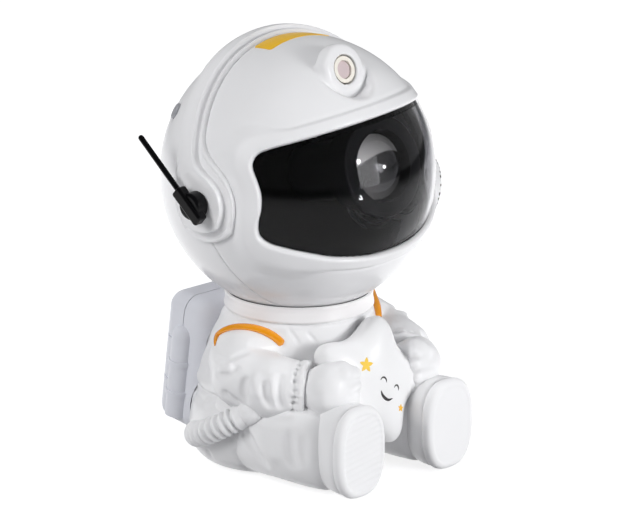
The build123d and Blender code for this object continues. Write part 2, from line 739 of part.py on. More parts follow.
def sleeve(side):
    """Bent arm of the suit, hollow."""
    return sleeve_form(side) - sleeve_form(side, WALL) - torso_outer() - leg_form(side)


def shoulder_piping(side):
    """Coloured piping over the shoulder, a ring segment on the shoulder ball."""
    ring = Rot(0, 90, 0) * Torus(SHOULDER_R + 0.5, PIPE_R)
    ring = Rot(0, 0, side * -PIPE_YAW) * ring
    ring = Pos(side * SHOULDER_X, SHOULDER_Y, SHOULDER_Z) * ring
    ring = ring & block(-99, 99, -99, 99, SHOULDER_Z + 0.42 * SHOULDER_R, 99)
    ring = ring - torso_outer() - sleeve_form(side) - neck_collar() - backpack_form()
    return ring.solids().sort_by(SortBy.VOLUME)[-1]


def star_form():
    """Plump five-pointed star."""
    points = []
    for i in range(10):
        r = STAR_R if i % 2 == 0 else STAR_WAIST
        a = radians(90 + 36 * i)
        points.append((r * cos(a), r * sin(a)))
    flat = make_face(Polyline(*points, close=True))
    tips = flat.vertices().filter_by(lambda v: v.center().length > (STAR_R + STAR_WAIST) / 2)
    flat = fillet(tips, 8.0)
    dents = flat.vertices().filter_by(lambda v: v.center().length < STAR_WAIST + 0.5)
    flat = fillet(dents, 8.0)
    body = extrude(flat, STAR_T / 2, both=True)
    body = fillet(body.faces().filter_by(Axis.Z).edges(), 6.5)
    upright = Rot(90 - STAR_LEAN, 0, 0) * Rot(0, 0, -STAR_TURN) * body
    return Pos(0, STAR_Y, STAR_Z) * Rot(0, 0, STAR_FACING) * upright


def star():
    """Star held in both hands."""
    body = star_form() - torso_outer() - collar_room()
    for side in (1, -1):
        body = body - leg_form(side) - boot_form(side) - sleeve_form(side)
    return body.solids().sort_by(SortBy.VOLUME)[-1]


def glove_form(side):
    palm = Pos(*mirrored(HAND, side)) * Rot(0, 0, side * 20) * ellipsoid(HAND_R, HAND_R * 1.15, HAND_R)
    form = palm + limb([mirrored(CUFF, side), mirrored(HAND, side)], [CUFF_R - 2.6, HAND_R - 1.0])
    for i in range(4):
        z = HAND[2] + 7.6 - i * 5.0
        root = mirrored((HAND[0] - 0.5, HAND[1] - 4.5, z), side)
        mid = mirrored((HAND[0] - 7.0, HAND[1] - 10.5, z + 0.6), side)
        tip = mirrored((HAND[0] - 14.0, HAND[1] - 10.5, z + 1.2), side)
        form = form + limb([root, mid, tip], [FINGER_R, FINGER_R, FINGER_R - 0.5])
    thumb_root = mirrored((HAND[0] - 3.0, HAND[1] + 3.0, HAND[2] + 7.0), side)
    thumb_tip = mirrored((HAND[0] - 12.0, HAND[1] - 1.5, HAND[2] + 13.5), side)
    return form + limb([thumb_root, thumb_tip], [FINGER_R + 0.8, FINGER_R])


def glove(side):
    """Hand laid on the star."""
    hand = glove_form(side) - star_form() - sleeve_form(side) - torso_outer()
    hand = hand - leg_form(side) - boot_form(side)
    return hand.solids().sort_by(SortBy.VOLUME)[-1]


def leg_form(side, shrink=0.0):
    """Trouser leg: flat underneath, full at the thigh and narrower at the hem."""
    stations = [(0.0, 1.03, 1.04, 0.0), (0.38, 1.02, 1.02, 0.6), (0.76, 0.95, 0.98, 0.6), (1.0, 0.82, 0.95, 0.0)]
    faces = []
    for t, wide, tall, out in stations:
        w = LEG_W * wide - 2 * shrink
        h = LEG_H * tall - 2 * shrink
        place = Pos(side * (LEG_X + out), -LEG_END * t, LEG_H * tall / 2 + 0.3)
        faces.append(place * (Plane.XZ * RectangleRounded(w, h, 0.44 * w)))
    return loft(faces)


def leg(side):
    """Outstretched leg of the suit, hollow."""
    return leg_form(side) - leg_form(side, WALL) - torso_outer() - base_pad() - base_cover()


def oval(width, height):
    """Upright rounded oblong facing along Y."""
    return Plane.XZ * RectangleRounded(width, height, width / 2 - 0.4)


def boot_form(side):
    """Boot without its sole."""
    sections = []
    for back, w, h in ((0.0, 1.0, 1.0), (6.0, 0.995, 0.995), (12.5, 0.95, 0.965), (19.0, 0.84, 0.88)):
        face = Pos(0, -SOLE_Y + SOLE_T + back, 0) * oval(SOLE_W * w - 0.8, SOLE_H * h - 0.8)
        sections.append(face)
    return Pos(side * SOLE_X, 0, SOLE_H / 2) * loft(sections)


def boot(side):
    return boot_form(side) - leg_form(side) - torso_outer()


def sole(side):
    """Sole with its raised rim and cross treads."""
    plate = extrude(Pos(0, -SOLE_Y, 0) * oval(SOLE_W, SOLE_H), -SOLE_T)
    plate = fillet(plate.faces().sort_by(Axis.Y)[0].edges(), SOLE_EDGE)
    wide, tall = SOLE_W - 2 * SOLE_EDGE - 0.6, SOLE_H - 2 * SOLE_EDGE - 0.6
    inner = extrude(Pos(0, -SOLE_Y, 0) * oval(wide, tall), -TREAD_DEPTH)
    grooves = []
    pitch = tall / TREADS
    half = 0.22 * pitch
    for i in range(TREADS):
        z = -tall / 2 + (i + 0.5) * pitch
        grooves.append(block(-SOLE_W, SOLE_W, -SOLE_Y - 1, -SOLE_Y + TREAD_DEPTH, z - half, z + half))
    cuts = [inner & g for g in grooves]
    return Pos(side * SOLE_X, 0, SOLE_H / 2) * (plate - cuts)


# ---- backpack ----
def pack_place():
    """Backpack frame: upright box leaning forward with the back of the suit."""
    return Pos(0, (PACK_Y0 + PACK_Y1) / 2, (PACK_Z0 + PACK_Z1) / 2) * Rot(PACK_LEAN, 0, 0)


def pack_box(shrink=0.0):
    size = PACK_W - 2 * shrink
    box = Box(size, PACK_Y1 - PACK_Y0 - 2 * shrink, PACK_Z1 - PACK_Z0 - 2 * shrink)
    return fillet(box.edges(), PACK_EDGE - shrink)


def backpack_form():
    return pack_place() * pack_box()


def collar_room():
    """Space kept for the neck collar and the helmet above it."""
    return Pos(0, 0, PLATE_Z + 30) * Cylinder(COLLAR_R + 0.1, 60)


def pack_grooves():
    """Shallow lines round the rear half."""
    cuts = []
    for z in (-0.16 * (PACK_Z1 - PACK_Z0), 0.16 * (PACK_Z1 - PACK_Z0)):
        ring = pack_box() - pack_box(0.7)
        cuts.append(ring & block(-99, 99, 2.0, 99, z - 0.6, z + 0.6))
    return cuts


def backpack_front_shell():
    half = (pack_box() - pack_box(WALL)) & block(-99, 99, -99, -0.2, -99, 99)
    lip = (pack_box(0.9) - pack_box(WALL)) & block(-99, 99, -0.2, 0.2, -99, 99)
    shell = pack_place() * (half + lip) - torso_outer() - collar_room()
    return shell - tank_form(1) - tank_form(-1)


def backpack_rear_shell():
    half = (pack_box() - pack_box(WALL)) & block(-99, 99, 0.2, 99, -99, 99)
    half = half - pack_grooves()
    return pack_place() * half - torso_outer() - tank_form(1) - tank_form(-1) - air_hose_form()


def tank_form(side):
    """Round-topped tank let into the side of the backpack."""
    x = side * (PACK_W / 2 - 1.2)
    low = TANK_Z0 - (PACK_Z0 + PACK_Z1) / 2
    high = TANK_Z1 - (PACK_Z0 + PACK_Z1) / 2
    form = Pos(x, 0, (low + high) / 2) * Cylinder(TANK_R, high - low)
    form = form + Pos(x, 0, high) * Sphere(TANK_R)
    for t in (0.30, 0.68):
        form = form + Pos(x, 0, low + t * (high - low)) * Cylinder(TANK_R + 0.6, 2.2)
    return pack_place() * form


def side_tank(side):
    return tank_form(side) - torso_outer() - air_hose_form()


def hose_path():
    """From the fitting under the right elbow, round the hip, to the backpack."""
    return Spline(
        (-HIP_W + 1.5, -15.3, 31.5), (-HIP_W - 3.5, -8.8, 26.6), (-HIP_W - 6.2, 0.5, 21.9),
        (-HIP_W - 4.5, 12.0, 17.9), (-HIP_W + 4.0, 24.0, 15.0), (-HIP_W + 14.0, 32.5, 13.5),
    )


def air_hose_form():
    """Ribbed hose before it is trimmed to the suit."""
    path = hose_path()
    start = Plane(origin=path @ 0, z_dir=path % 0)
    form = sweep(start * Circle(HOSE_R), path)
    for i in range(HOSE_RIBS):
        t = 0.05 + 0.9 * i / (HOSE_RIBS - 1)
        rib = Cylinder(HOSE_RIB_R, 2.9)
        rib = fillet(rib.edges().filter_by(GeomType.CIRCLE), 1.1)
        form = form + Plane(origin=path @ t, z_dir=path % t) * rib
    return form


def air_hose():
    form = air_hose_form() - torso_outer() - sleeve_form(-1) - leg_form(-1)
    return form.solids().sort_by(SortBy.VOLUME)[-1]


def hose_connector():
    """Plain tapered fitting at the front end of the hose."""
    path = hose_path()
    back = path % 0
    place = Plane(origin=path @ 0, z_dir=-back)
    form = place * Pos(0, 0, 4.5) * Cone(HOSE_R + 0.8, HOSE_R - 2.2, 9.0)
    form = form - torso_outer() - sleeve_form(-1) - leg_form(-1) - air_hose_form()
    return form.solids().sort_by(SortBy.VOLUME)[-1]


# ---- assembly ----
def head_parts():
    return {
        "helmet_front_shell": helmet_front_shell,
        "helmet_rear_shell": helmet_rear_shell,
        "headphone_band": headphone_band,
        "right_ear_pod": right_ear_pod,
        "left_speaker_pod": left_speaker_pod,
        "speaker_mesh": speaker_mesh,
        "speaker_driver": speaker_driver,
        "visor": visor,
        "visor_frame": visor_frame,
        "forehead_patch": forehead_patch,
        "laser_ring": laser_ring,
        "laser_window": laser_window,
        "laser_module": laser_module,
        "grating_wheel": grating_wheel,
        "grating_motor": grating_motor,
        "lens_barrel": lens_barrel,
        "nebula_lens": nebula_lens,
        "ripple_disc": ripple_disc,
        "ripple_motor": ripple_motor,
        "chassis_plate": chassis_plate,
        "led_board": led_board,
        "led_array": led_array,
        "heat_sink": heat_sink,
        "main_board": main_board,
        "usb_socket": usb_socket,
        "keeper_plate": keeper_plate,
        "star_button": lambda: button(1),
        "nebula_button": lambda: button(-1),
        "antenna_knob": antenna_knob,
        "antenna_rod": antenna_rod,
    }


def body_parts():
    return {
        "neck_collar": neck_collar,
        "neck_glide_ring": neck_glide_ring,
        "neck_plate": neck_plate,
        "neck_magnet": neck_magnet,
        "torso_front_shell": torso_front_shell,
        "torso_rear_shell": torso_rear_shell,
        "base_cover": base_cover,
        "base_pad": base_pad,
        "ballast_weight": ballast_weight,
        "star": star,
        "right_sleeve": lambda: sleeve(-1),
        "left_sleeve": lambda: sleeve(1),
        "right_glove": lambda: glove(-1),
        "left_glove": lambda: glove(1),
        "right_leg": lambda: leg(-1),
        "left_leg": lambda: leg(1),
        "right_boot": lambda: boot(-1),
        "left_boot": lambda: boot(1),
        "right_sole": lambda: sole(-1),
        "left_sole": lambda: sole(1),
        "right_shoulder_piping": lambda: shoulder_piping(-1),
        "left_shoulder_piping": lambda: shoulder_piping(1),
        "backpack_front_shell": backpack_front_shell,
        "backpack_rear_shell": backpack_rear_shell,
        "right_side_tank": lambda: side_tank(-1),
        "left_side_tank": lambda: side_tank(1),
        "air_hose": air_hose,
        "hose_connector": hose_connector,
    }


def main():
    os.makedirs("parts", exist_ok=True)
    for name, make in head_parts().items():
        export_step(head_place() * make(), f"parts/{name}.step")
    for name, make in body_parts().items():
        export_step(make(), f"parts/{name}.step")


main()
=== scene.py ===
"""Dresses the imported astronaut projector: smooth moulded skins, materials, light and camera.

Forms are worked out in millimetres in the frame of the CAD, +Z up and the figure facing -Y,
and the meshes are made in metres.
"""
import json
import math
import bpy
import numpy as np
from mathutils import Matrix, Vector


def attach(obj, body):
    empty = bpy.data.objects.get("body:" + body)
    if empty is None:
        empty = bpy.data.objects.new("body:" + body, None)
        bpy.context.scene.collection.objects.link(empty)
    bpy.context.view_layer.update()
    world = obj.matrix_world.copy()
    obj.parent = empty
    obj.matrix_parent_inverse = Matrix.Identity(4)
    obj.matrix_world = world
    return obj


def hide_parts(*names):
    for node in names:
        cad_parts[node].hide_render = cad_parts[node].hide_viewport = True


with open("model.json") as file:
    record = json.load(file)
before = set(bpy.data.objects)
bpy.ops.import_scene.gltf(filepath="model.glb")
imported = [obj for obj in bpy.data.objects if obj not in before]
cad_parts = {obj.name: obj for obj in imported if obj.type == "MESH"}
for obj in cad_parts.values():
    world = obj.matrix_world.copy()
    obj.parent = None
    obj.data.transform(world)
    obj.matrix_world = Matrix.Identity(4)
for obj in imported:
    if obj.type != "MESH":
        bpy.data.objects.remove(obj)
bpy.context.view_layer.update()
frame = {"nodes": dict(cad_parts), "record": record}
MM = 0.001
SIDES = {"right": -1, "left": 1}    # the figure's own right is -X

# ---- head frame, as in the source of the solids ----
HEAD_R = 65.0
HEAD_PITCH, HEAD_ROLL = 17.7, 4.3
SEAT_Z, SEAT_R = 79.4, 32.0         # ring of the collar that the ball sits in
HEAD_Z = SEAT_Z + math.sqrt(HEAD_R ** 2 - SEAT_R ** 2)
CENTRE = np.array((0, 0, HEAD_Z))
HEAD = (Matrix.Translation((0, 0, HEAD_Z))
        @ Matrix.Rotation(math.radians(-HEAD_ROLL), 4, "Y")
        @ Matrix.Rotation(math.radians(-HEAD_PITCH), 4, "X"))

# ---- camera, from the photograph ----
PHOTO_W, PHOTO_H = 617.0, 530.0
BALL_PX, BALL_PY = 299.0, 172.0     # where the photograph shows the centre of the helmet
CAM_AZ, CAM_EL = math.radians(-45.0), math.radians(15.0)
CAM_DIST = 2000.0
PX_PER_MM = 2.14
SENSOR_MM = 36.0


def unit(v):
    return v / np.linalg.norm(v, axis=-1, keepdims=True)


def view_axes():
    """Where the camera stands, and the directions ahead, right and up in its picture."""
    back = np.array((math.sin(CAM_AZ) * math.cos(CAM_EL), -math.cos(CAM_AZ) * math.cos(CAM_EL),
                     math.sin(CAM_EL)))
    right = np.array((math.cos(CAM_AZ), math.sin(CAM_AZ), 0.0))
    up = np.cross(back, right)
    aim = (CENTRE + right * (PHOTO_W / 2 - BALL_PX) / PX_PER_MM
           - up * (PHOTO_H / 2 - BALL_PY) / PX_PER_MM)
    eye = CENTRE + back * CAM_DIST
    ahead = unit(aim - eye)
    right = unit(np.cross(ahead, (0, 0, 1.0)))
    return eye, ahead, right, np.cross(right, ahead)


EYE, AHEAD, RIGHT, UP = view_axes()


def add(name, data, place=None, ahead=None):
    """Adds an object to the scene, looking ahead from a place where one is given."""
    obj = bpy.data.objects.new(name, data)
    bpy.context.scene.collection.objects.link(obj)
    if place is not None:
        obj.location = place
        obj.rotation_mode = "QUATERNION"
        obj.rotation_quaternion = Vector(ahead).to_track_quat("-Z", "Y")
    return obj


def camera():
    data = bpy.data.cameras.new("camera")
    data.sensor_width = SENSOR_MM
    data.lens = PX_PER_MM * CAM_DIST / PHOTO_W * SENSOR_MM
    data.clip_start, data.clip_end = 0.1, 50.0
    bpy.context.scene.camera = add("camera", data, EYE * MM, AHEAD)


# ---- distance fields: each takes an (n, 3) array of points in mm ----
def smin(a, b, k):
    """Union of two fields with a fillet of about k."""
    h = np.maximum(k - np.abs(a - b), 0.0) / k
    return np.minimum(a, b) - h * h * k * 0.25


def smax(a, b, k):
    return -smin(-a, -b, k)


def ball(p, c, r):
    return np.linalg.norm(p - np.asarray(c, float), axis=1) - r


def egg(p, c, r, turn):
    """Ellipsoid of half axes r, turned by a 3x3 matrix."""
    q = (p - c) @ turn
    r = np.asarray(r, float)
    k0 = np.linalg.norm(q / r, axis=1)
    k1 = np.linalg.norm(q / (r * r), axis=1)
    return k0 * (k0 - 1.0) / np.maximum(k1, 1e-9)


def nearest(p, a, b):
    """Distance to the line from a to b, and how far along it the nearest point is, 0 to 1."""
    a, b = np.asarray(a, float), np.asarray(b, float)
    ab = b - a
    t = np.clip((p - a) @ ab / (ab @ ab), 0.0, 1.0)
    return np.linalg.norm(p - a - t[:, None] * ab, axis=1), t


def rod(p, a, b, ra, rb):
    """Capsule from a to b whose radius goes from ra to rb."""
    d, t = nearest(p, a, b)
    return d - (ra + (rb - ra) * t)


def chain(p, points, radii, k=0.0):
    """Rods from point to point, with a fillet of about k where one is given."""
    d = None
    for i in range(len(points) - 1):
        e = rod(p, points[i], points[i + 1], radii[i], radii[i + 1])
        d = e if d is None else (smin(d, e, k) if k else np.minimum(d, e))
    return d


def along(p, points):
    """Distance to a polyline and how far along it the nearest point is, 0 to 1."""
    best = np.full(len(p), 1e9)
    where = np.zeros(len(p))
    n = len(points) - 1
    for i in range(n):
        d, t = nearest(p, points[i], points[i + 1])
        nearer = d < best
        best = np.where(nearer, d, best)
        where = np.where(nearer, (i + t) / n, where)
    return best, where


def spline(q, steps):
    """Catmull-Rom points from the second of four points up to the third."""
    out = []
    for s in range(steps):
        t = s / steps
        out.append(0.5 * (2 * q[1] + (q[2] - q[0]) * t
                          + (2 * q[0] - 5 * q[1] + 4 * q[2] - q[3]) * t * t
                          + (3 * q[1] - q[0] - 3 * q[2] + q[3]) * t ** 3))
    return out


def smooth_path(points, steps=6):
    """Catmull-Rom points through the given ones."""
    q = [np.asarray(v, float) for v in points]
    q = [2 * q[0] - q[1]] + q + [2 * q[-1] - q[-2]]
    out = []
    for i in range(len(q) - 3):
        out += spline(q[i:i + 4], steps)
    return out + [q[-2]]


def outward(az, elev):
    """Unit vector in the head frame: az from the face towards its right ear."""
    a, e = math.radians(az), math.radians(elev)
    return np.array((-math.sin(a) * math.cos(e), -math.cos(a) * math.cos(e), math.sin(e)))


def ease(x, a, b):
    """0 at a, 1 at b, smooth between."""
    t = np.clip((x - a) / (b - a), 0, 1)
    return t * t * (3 - 2 * t)


def bell(x, width):
    """1 at zero, falling away smoothly to both sides."""
    return np.exp(-(x / width) ** 2)


def switch(x):
    """0 well below zero, 1 well above."""
    return 1 / (1 + np.exp(-np.clip(x, -30, 30)))


def slope(field, points, e):
    """Rise of a field along each axis over a span of 2 e about the points."""
    return np.stack([field(points + e * axis) - field(points - e * axis) for axis in np.eye(3)], 1)


def fold(p, d, points, depth, width, ends):
    """Presses a valley of that depth and half width along a path; a negative depth is a ridge."""
    path = np.array(smooth_path(points, 4))
    middle = (path.min(0) + path.max(0)) / 2
    reach = np.linalg.norm(path.max(0) - path.min(0)) / 2 + 3 * width
    near = ((p - middle) ** 2).sum(1) < reach * reach
    if near.any():
        far, where = along(p[near], path)
        d = d.copy()
        d[near] += depth * ease(np.minimum(where, 1 - where), 0, ends) * bell(far, width)
    return d


def folded(p, d, folds, side=-1, ends=0.35):
    """Presses folds that are given for the figure's right into the given side."""
    for points, depth, width in folds:
        d = fold(p, d, [v * (-side, 1, 1) for v in points], depth, width, ends)
    return d


def pinch(d, other, depth, width):
    """Draws a surface in where another form stands close to it."""
    return d + depth * bell(np.maximum(other, 0), width)


def mirror(point, side):
    """A point given for the figure's left (+X) side, put on the given side."""
    return (point[0] * side, point[1], point[2])


RAY_START, RAY_STEPS = 160.0, 260   # rays start this far before the ball's centre


def seen_at(field, pixels):
    """Where the camera's rays through these pixels of the photograph meet a form, in mm."""
    px = np.asarray(pixels, float)
    reach = PX_PER_MM * CAM_DIST
    ray = unit(AHEAD + np.outer((px[:, 0] - PHOTO_W / 2) / reach, RIGHT)
               - np.outer((px[:, 1] - PHOTO_H / 2) / reach, UP))
    far = np.full(len(px), CAM_DIST - RAY_START)
    least = np.full(len(px), 1e9)
    best = far.copy()
    for _ in range(RAY_STEPS):
        d = field(EYE + ray * far[:, None])
        closer = np.abs(d) < least
        least = np.where(closer, np.abs(d), least)
        best = np.where(closer, far, best)
        far = far + np.clip(d * 0.6, -1.0, 6.0)
    return [EYE + ray[i] * best[i] for i in range(len(px))]


def read_folds(folds_px, form):
    """Folds (points in mm, depth, width) from (pixels of the photograph, depth, width)."""
    return [(seen_at(form, pixels), depth, width) for pixels, depth, width in folds_px]


# ---- meshing ----
BLOCK = 6                           # samples along the side of a coarse block
NEAR_BLOCKS, NEAR_MM = 1.25, 1.5    # a block this near the surface is worked out finely
CHUNK = 400000                      # points worked out at a time


def sample(field, low, high, step):
    """Values of a field on a grid, worked out finely only near its surface."""
    low = np.asarray(low, float)
    n = np.ceil((np.asarray(high, float) - low) / (step * BLOCK)).astype(int)
    big = step * BLOCK
    axes = [low[i] + (np.arange(n[i]) + 0.5) * big - step / 2 for i in range(3)]
    grid = np.stack(np.meshgrid(*axes, indexing="ij"), -1).reshape(-1, 3)
    coarse = field(grid).reshape(n)
    near = np.abs(coarse) < big * NEAR_BLOCKS + NEAR_MM
    values = coarse.astype(np.float32)
    for axis in range(3):
        values = np.repeat(values, BLOCK, axis)
        near = np.repeat(near, BLOCK, axis)
    spots = np.argwhere(near)
    out = np.empty(len(spots), np.float32)
    for s in range(0, len(spots), CHUNK):
        out[s:s + CHUNK] = field(low + spots[s:s + CHUNK] * step)
    values[near] = out
    return values


def net(values, low, step):
    """Surface net of a sampled field: points and quads."""
    inside = values < 0
    count = np.zeros(np.array(values.shape) - 1, np.int8)
    corners = [(i, j, k) for i in (0, 1) for j in (0, 1) for k in (0, 1)]
    nx, ny, nz = count.shape
    for i, j, k in corners:
        count += inside[i:i + nx, j:j + ny, k:k + nz]
    active = (count > 0) & (count < 8)
    ids = np.full(active.shape, -1, np.int64)
    ids[active] = np.arange(int(active.sum()))
    cell = np.argwhere(active)
    total = np.zeros((len(cell), 3))
    hits = np.zeros(len(cell))
    for a in corners:
        for axis in range(3):
            if a[axis]:
                continue
            b = list(a)
            b[axis] = 1
            va = values[tuple((cell + a).T)]
            vb = values[tuple((cell + b).T)]
            cross = (va < 0) != (vb < 0)
            t = np.where(cross, va / np.where(cross, va - vb, 1.0), 0.0)
            at = np.tile(np.asarray(a, float), (len(cell), 1))
            at[:, axis] += t
            total += at * cross[:, None]
            hits += cross
    points = np.asarray(low, float) + step * (cell + total / hits[:, None])
    quads = []
    for axis in range(3):
        u, v = [(1, 2), (2, 0), (0, 1)][axis]
        first = [slice(None)] * 3
        second = [slice(None)] * 3
        first[axis], second[axis] = slice(0, -1), slice(1, None)
        change = inside[tuple(first)] != inside[tuple(second)]
        spot = np.argwhere(change)
        keep = (spot[:, u] > 0) & (spot[:, v] > 0)
        keep &= (spot[:, u] < values.shape[u] - 1) & (spot[:, v] < values.shape[v] - 1)
        spot = spot[keep]
        ring = []
        for du, dv in ((1, 1), (0, 1), (0, 0), (1, 0)):
            c = spot.copy()
            c[:, u] -= du
            c[:, v] -= dv
            ring.append(ids[tuple(c.T)])
        ring = np.stack(ring, 1)
        out = inside[tuple(spot.T)]
        ring[~out] = ring[~out][:, ::-1]
        quads.append(ring)
    return points, np.concatenate(quads)


def settle(field, points, turns=3):
    """Moves points onto the surface of a field along its slope."""
    e = 0.05
    for _ in range(turns):
        d = field(points)
        rise = slope(field, points, e) / (2 * e)
        size = np.maximum((rise ** 2).sum(1), 0.05)
        points = points - rise * np.clip(d / size, -0.6, 0.6)[:, None]
    return points


def piece(name, points, faces, look, body="stand", nodes=()):
    """Smooth piece on a body, in the material of its look; where it stands for CAD nodes, those are
    hidden.
    """
    mesh = bpy.data.meshes.new(name)
    mesh.from_pydata((np.asarray(points) * MM).tolist(), [], faces)
    mesh.validate()
    mesh.shade_smooth()
    mesh.materials.append(M[look])
    obj = add(name, mesh)
    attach(obj, body)
    if nodes:
        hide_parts(*nodes)


def carve(name, field, low, high, step, nodes, look="suit_white", body="stand", place=None):
    """Meshes a field, between two corners of a box, as one piece that stands for CAD nodes."""
    points, quads = net(sample(field, low, high, step), low, step)
    points = settle(field, points)
    if place is not None:
        m = np.array(place)
        points = points @ m[:3, :3].T + m[:3, 3]
    piece(name, points, quads.tolist(), look, body, nodes)


def carve_side(side, part, field, low, high, step, look="suit_white"):
    """The same for a part that both sides of the figure have; the box is for the left."""
    sign = SIDES[side]
    x = sorted((sign * low[0], sign * high[0]))
    carve(f"{side}_{part}_skin", lambda p: field(p, sign), (x[0], *low[1:]), (x[1], *high[1:]),
          step, (f"{side}_{part}",), look)


def grid(rows, columns, round_rows, round_columns):
    """Quads over points laid out row after row, closed round on itself where asked."""
    faces = []
    for i in range(rows if round_rows else rows - 1):
        up = ((i + 1) % rows - i) * columns
        for k in range(columns if round_columns else columns - 1):
            a, b = i * columns + k, i * columns + (k + 1) % columns
            faces.append((a, b, b + up, a + up))
    return faces


def turned(profile, turns):
    """Points of a profile (radius, height), turned about the Z axis."""
    angles = [2 * math.pi * i / turns for i in range(turns)]
    return [(r * math.cos(a), r * math.sin(a), z) for a in angles for r, z in profile]


# ---- materials ----
M = {}      # every material by its name, which is that of its slot

SPK_AZ, SPK_DIP, SPK_R, SPK_BORE_R = 80.0, 22.0, 17.5, 12.0     # at the left ear
HOLE_PITCH, HOLE_R, ROW_SHARE = 2.4, 0.65, 0.866    # rows stand closer than holes

LENS_DIP = 4.0
LENS = HEAD @ Matrix.Rotation(math.radians(LENS_DIP), 4, "X")
LENS_R = 15.0
LENS_BACK, LENS_RIM, LENS_APEX = 45.0, 52.5, 59.4   # ahead of the ball's centre
PAINTED_HORIZON_DROP, PAINTED_HORIZON_R = 0.022, 0.0282     # metres; circle of the painted reflection's horizon, which parts the painted sky from the painted ground
GLOSS_SPREAD = 0.012                        # how far the roughness of plastic strays


def feed(tree, target, inputs):
    """Sets a node's inputs to constants, or links the outputs that feed them."""
    for key, value in inputs.items():
        if isinstance(value, (int, float, tuple)):
            target.inputs[key].default_value = value
        else:
            tree.links.new(value, target.inputs[key])
    return target


def node(tree, kind, inputs=None, operation=None):
    """New shader node, with its inputs by name or number."""
    made = tree.nodes.new("ShaderNode" + kind)
    if operation:
        made.operation = operation
    return feed(tree, made, inputs or {})


def new_look(name):
    """Adds a material: its node tree and its shader."""
    mat = M[name] = bpy.data.materials.new(name)
    mat.use_nodes = True
    return mat.node_tree, mat.node_tree.nodes["Principled BSDF"]


def ramp(tree, source, low, high, a, b):
    """Maps a value between low and high to a value between a and b."""
    return node(tree, "MapRange", {"Value": source, "From Min": low, "From Max": high,
                                   "To Min": a, "To Max": b}).outputs["Result"]


def worked(tree, operation, a, b=0.0):
    """Result of one sum on values or links."""
    return node(tree, "Math", {0: a, 1: b}, operation).outputs[0]


def larger(tree, a, b):
    return worked(tree, "MAXIMUM", a, b)


def product(tree, a, b):
    return worked(tree, "MULTIPLY", a, b)


def local_point(tree):
    return node(tree, "TexCoord").outputs["Object"]


def grain(tree, scale, detail, rough=0.5, where=None):
    """Noise, fixed to the object."""
    return node(tree, "TexNoise", {"Vector": where or local_point(tree), "Scale": scale,
                                   "Detail": detail, "Roughness": rough}).outputs["Fac"]


def tint(tree, fac, a, b):
    """Colour between two colours, of which the second may be a link."""
    mix = tree.nodes.new("ShaderNodeMix")
    mix.data_type = "RGBA"
    b = (*b, 1) if isinstance(b, tuple) else b
    return feed(tree, mix, {"Factor": fac, "A": (*a, 1), "B": b}).outputs["Result"]


def bumped(tree, shader, height, strength, distance):
    bump = node(tree, "Bump", {"Height": height, "Strength": strength, "Distance": distance})
    feed(tree, shader, {"Normal": bump.outputs["Normal"]})


def plastic(name, colour, rough, coat=0.0, spread=0.012, mould=0.000015, shine=0.5):
    """Moulded plastic: faint flow marks in its colour, uneven gloss and a little orange peel."""
    tree, shader = new_look(name)
    flow = ramp(tree, grain(tree, 22.0, 4.0, 0.55), 0.35, 0.65, 0, 1)
    lighter = tuple(min(c * (1 + spread), 1.0) for c in colour)
    darker = tuple(c * (1 - spread) for c in colour)
    wear = grain(tree, 60.0, 5.0, 0.6)
    feed(tree, shader, {
        "Base Color": tint(tree, flow, darker, lighter),
        "Roughness": ramp(tree, wear, 0.3, 0.7, rough - GLOSS_SPREAD, rough + GLOSS_SPREAD),
        "Specular IOR Level": shine, "Coat Weight": coat, "Coat Roughness": 0.12})
    bumped(tree, shader, grain(tree, 320.0, 1.0), 0.2, mould)


def metal(name, colour, rough, stretch=(1, 1, 40)):
    """Turned or drawn metal with fine tool lines."""
    tree, shader = new_look(name)
    drawn = node(tree, "Mapping", {"Vector": local_point(tree), "Scale": stretch})
    lines = grain(tree, 120.0, 4.0, where=drawn.outputs["Vector"])
    feed(tree, shader, {
        "Base Color": tint(tree, lines, tuple(c * 0.86 for c in colour), colour),
        "Roughness": ramp(tree, lines, 0.3, 0.7, rough - 0.06, rough + 0.08), "Metallic": 1.0})
    bumped(tree, shader, lines, 0.2, 0.00003)


def dot(tree, vector, axis):
    return node(tree, "VectorMath", {0: vector, 1: tuple(axis)}, "DOT_PRODUCT").outputs["Value"]


def measured(tree, origin, axis):
    """Distance past a point along an axis, in metres."""
    away = node(tree, "VectorMath", {0: local_point(tree), 1: tuple(origin)}, "SUBTRACT")
    return dot(tree, away.outputs[0], axis)


def length(tree, x, y):
    """Length of the vector with those two sides."""
    return worked(tree, "SQRT", worked(tree, "ADD", product(tree, x, x), product(tree, y, y)))


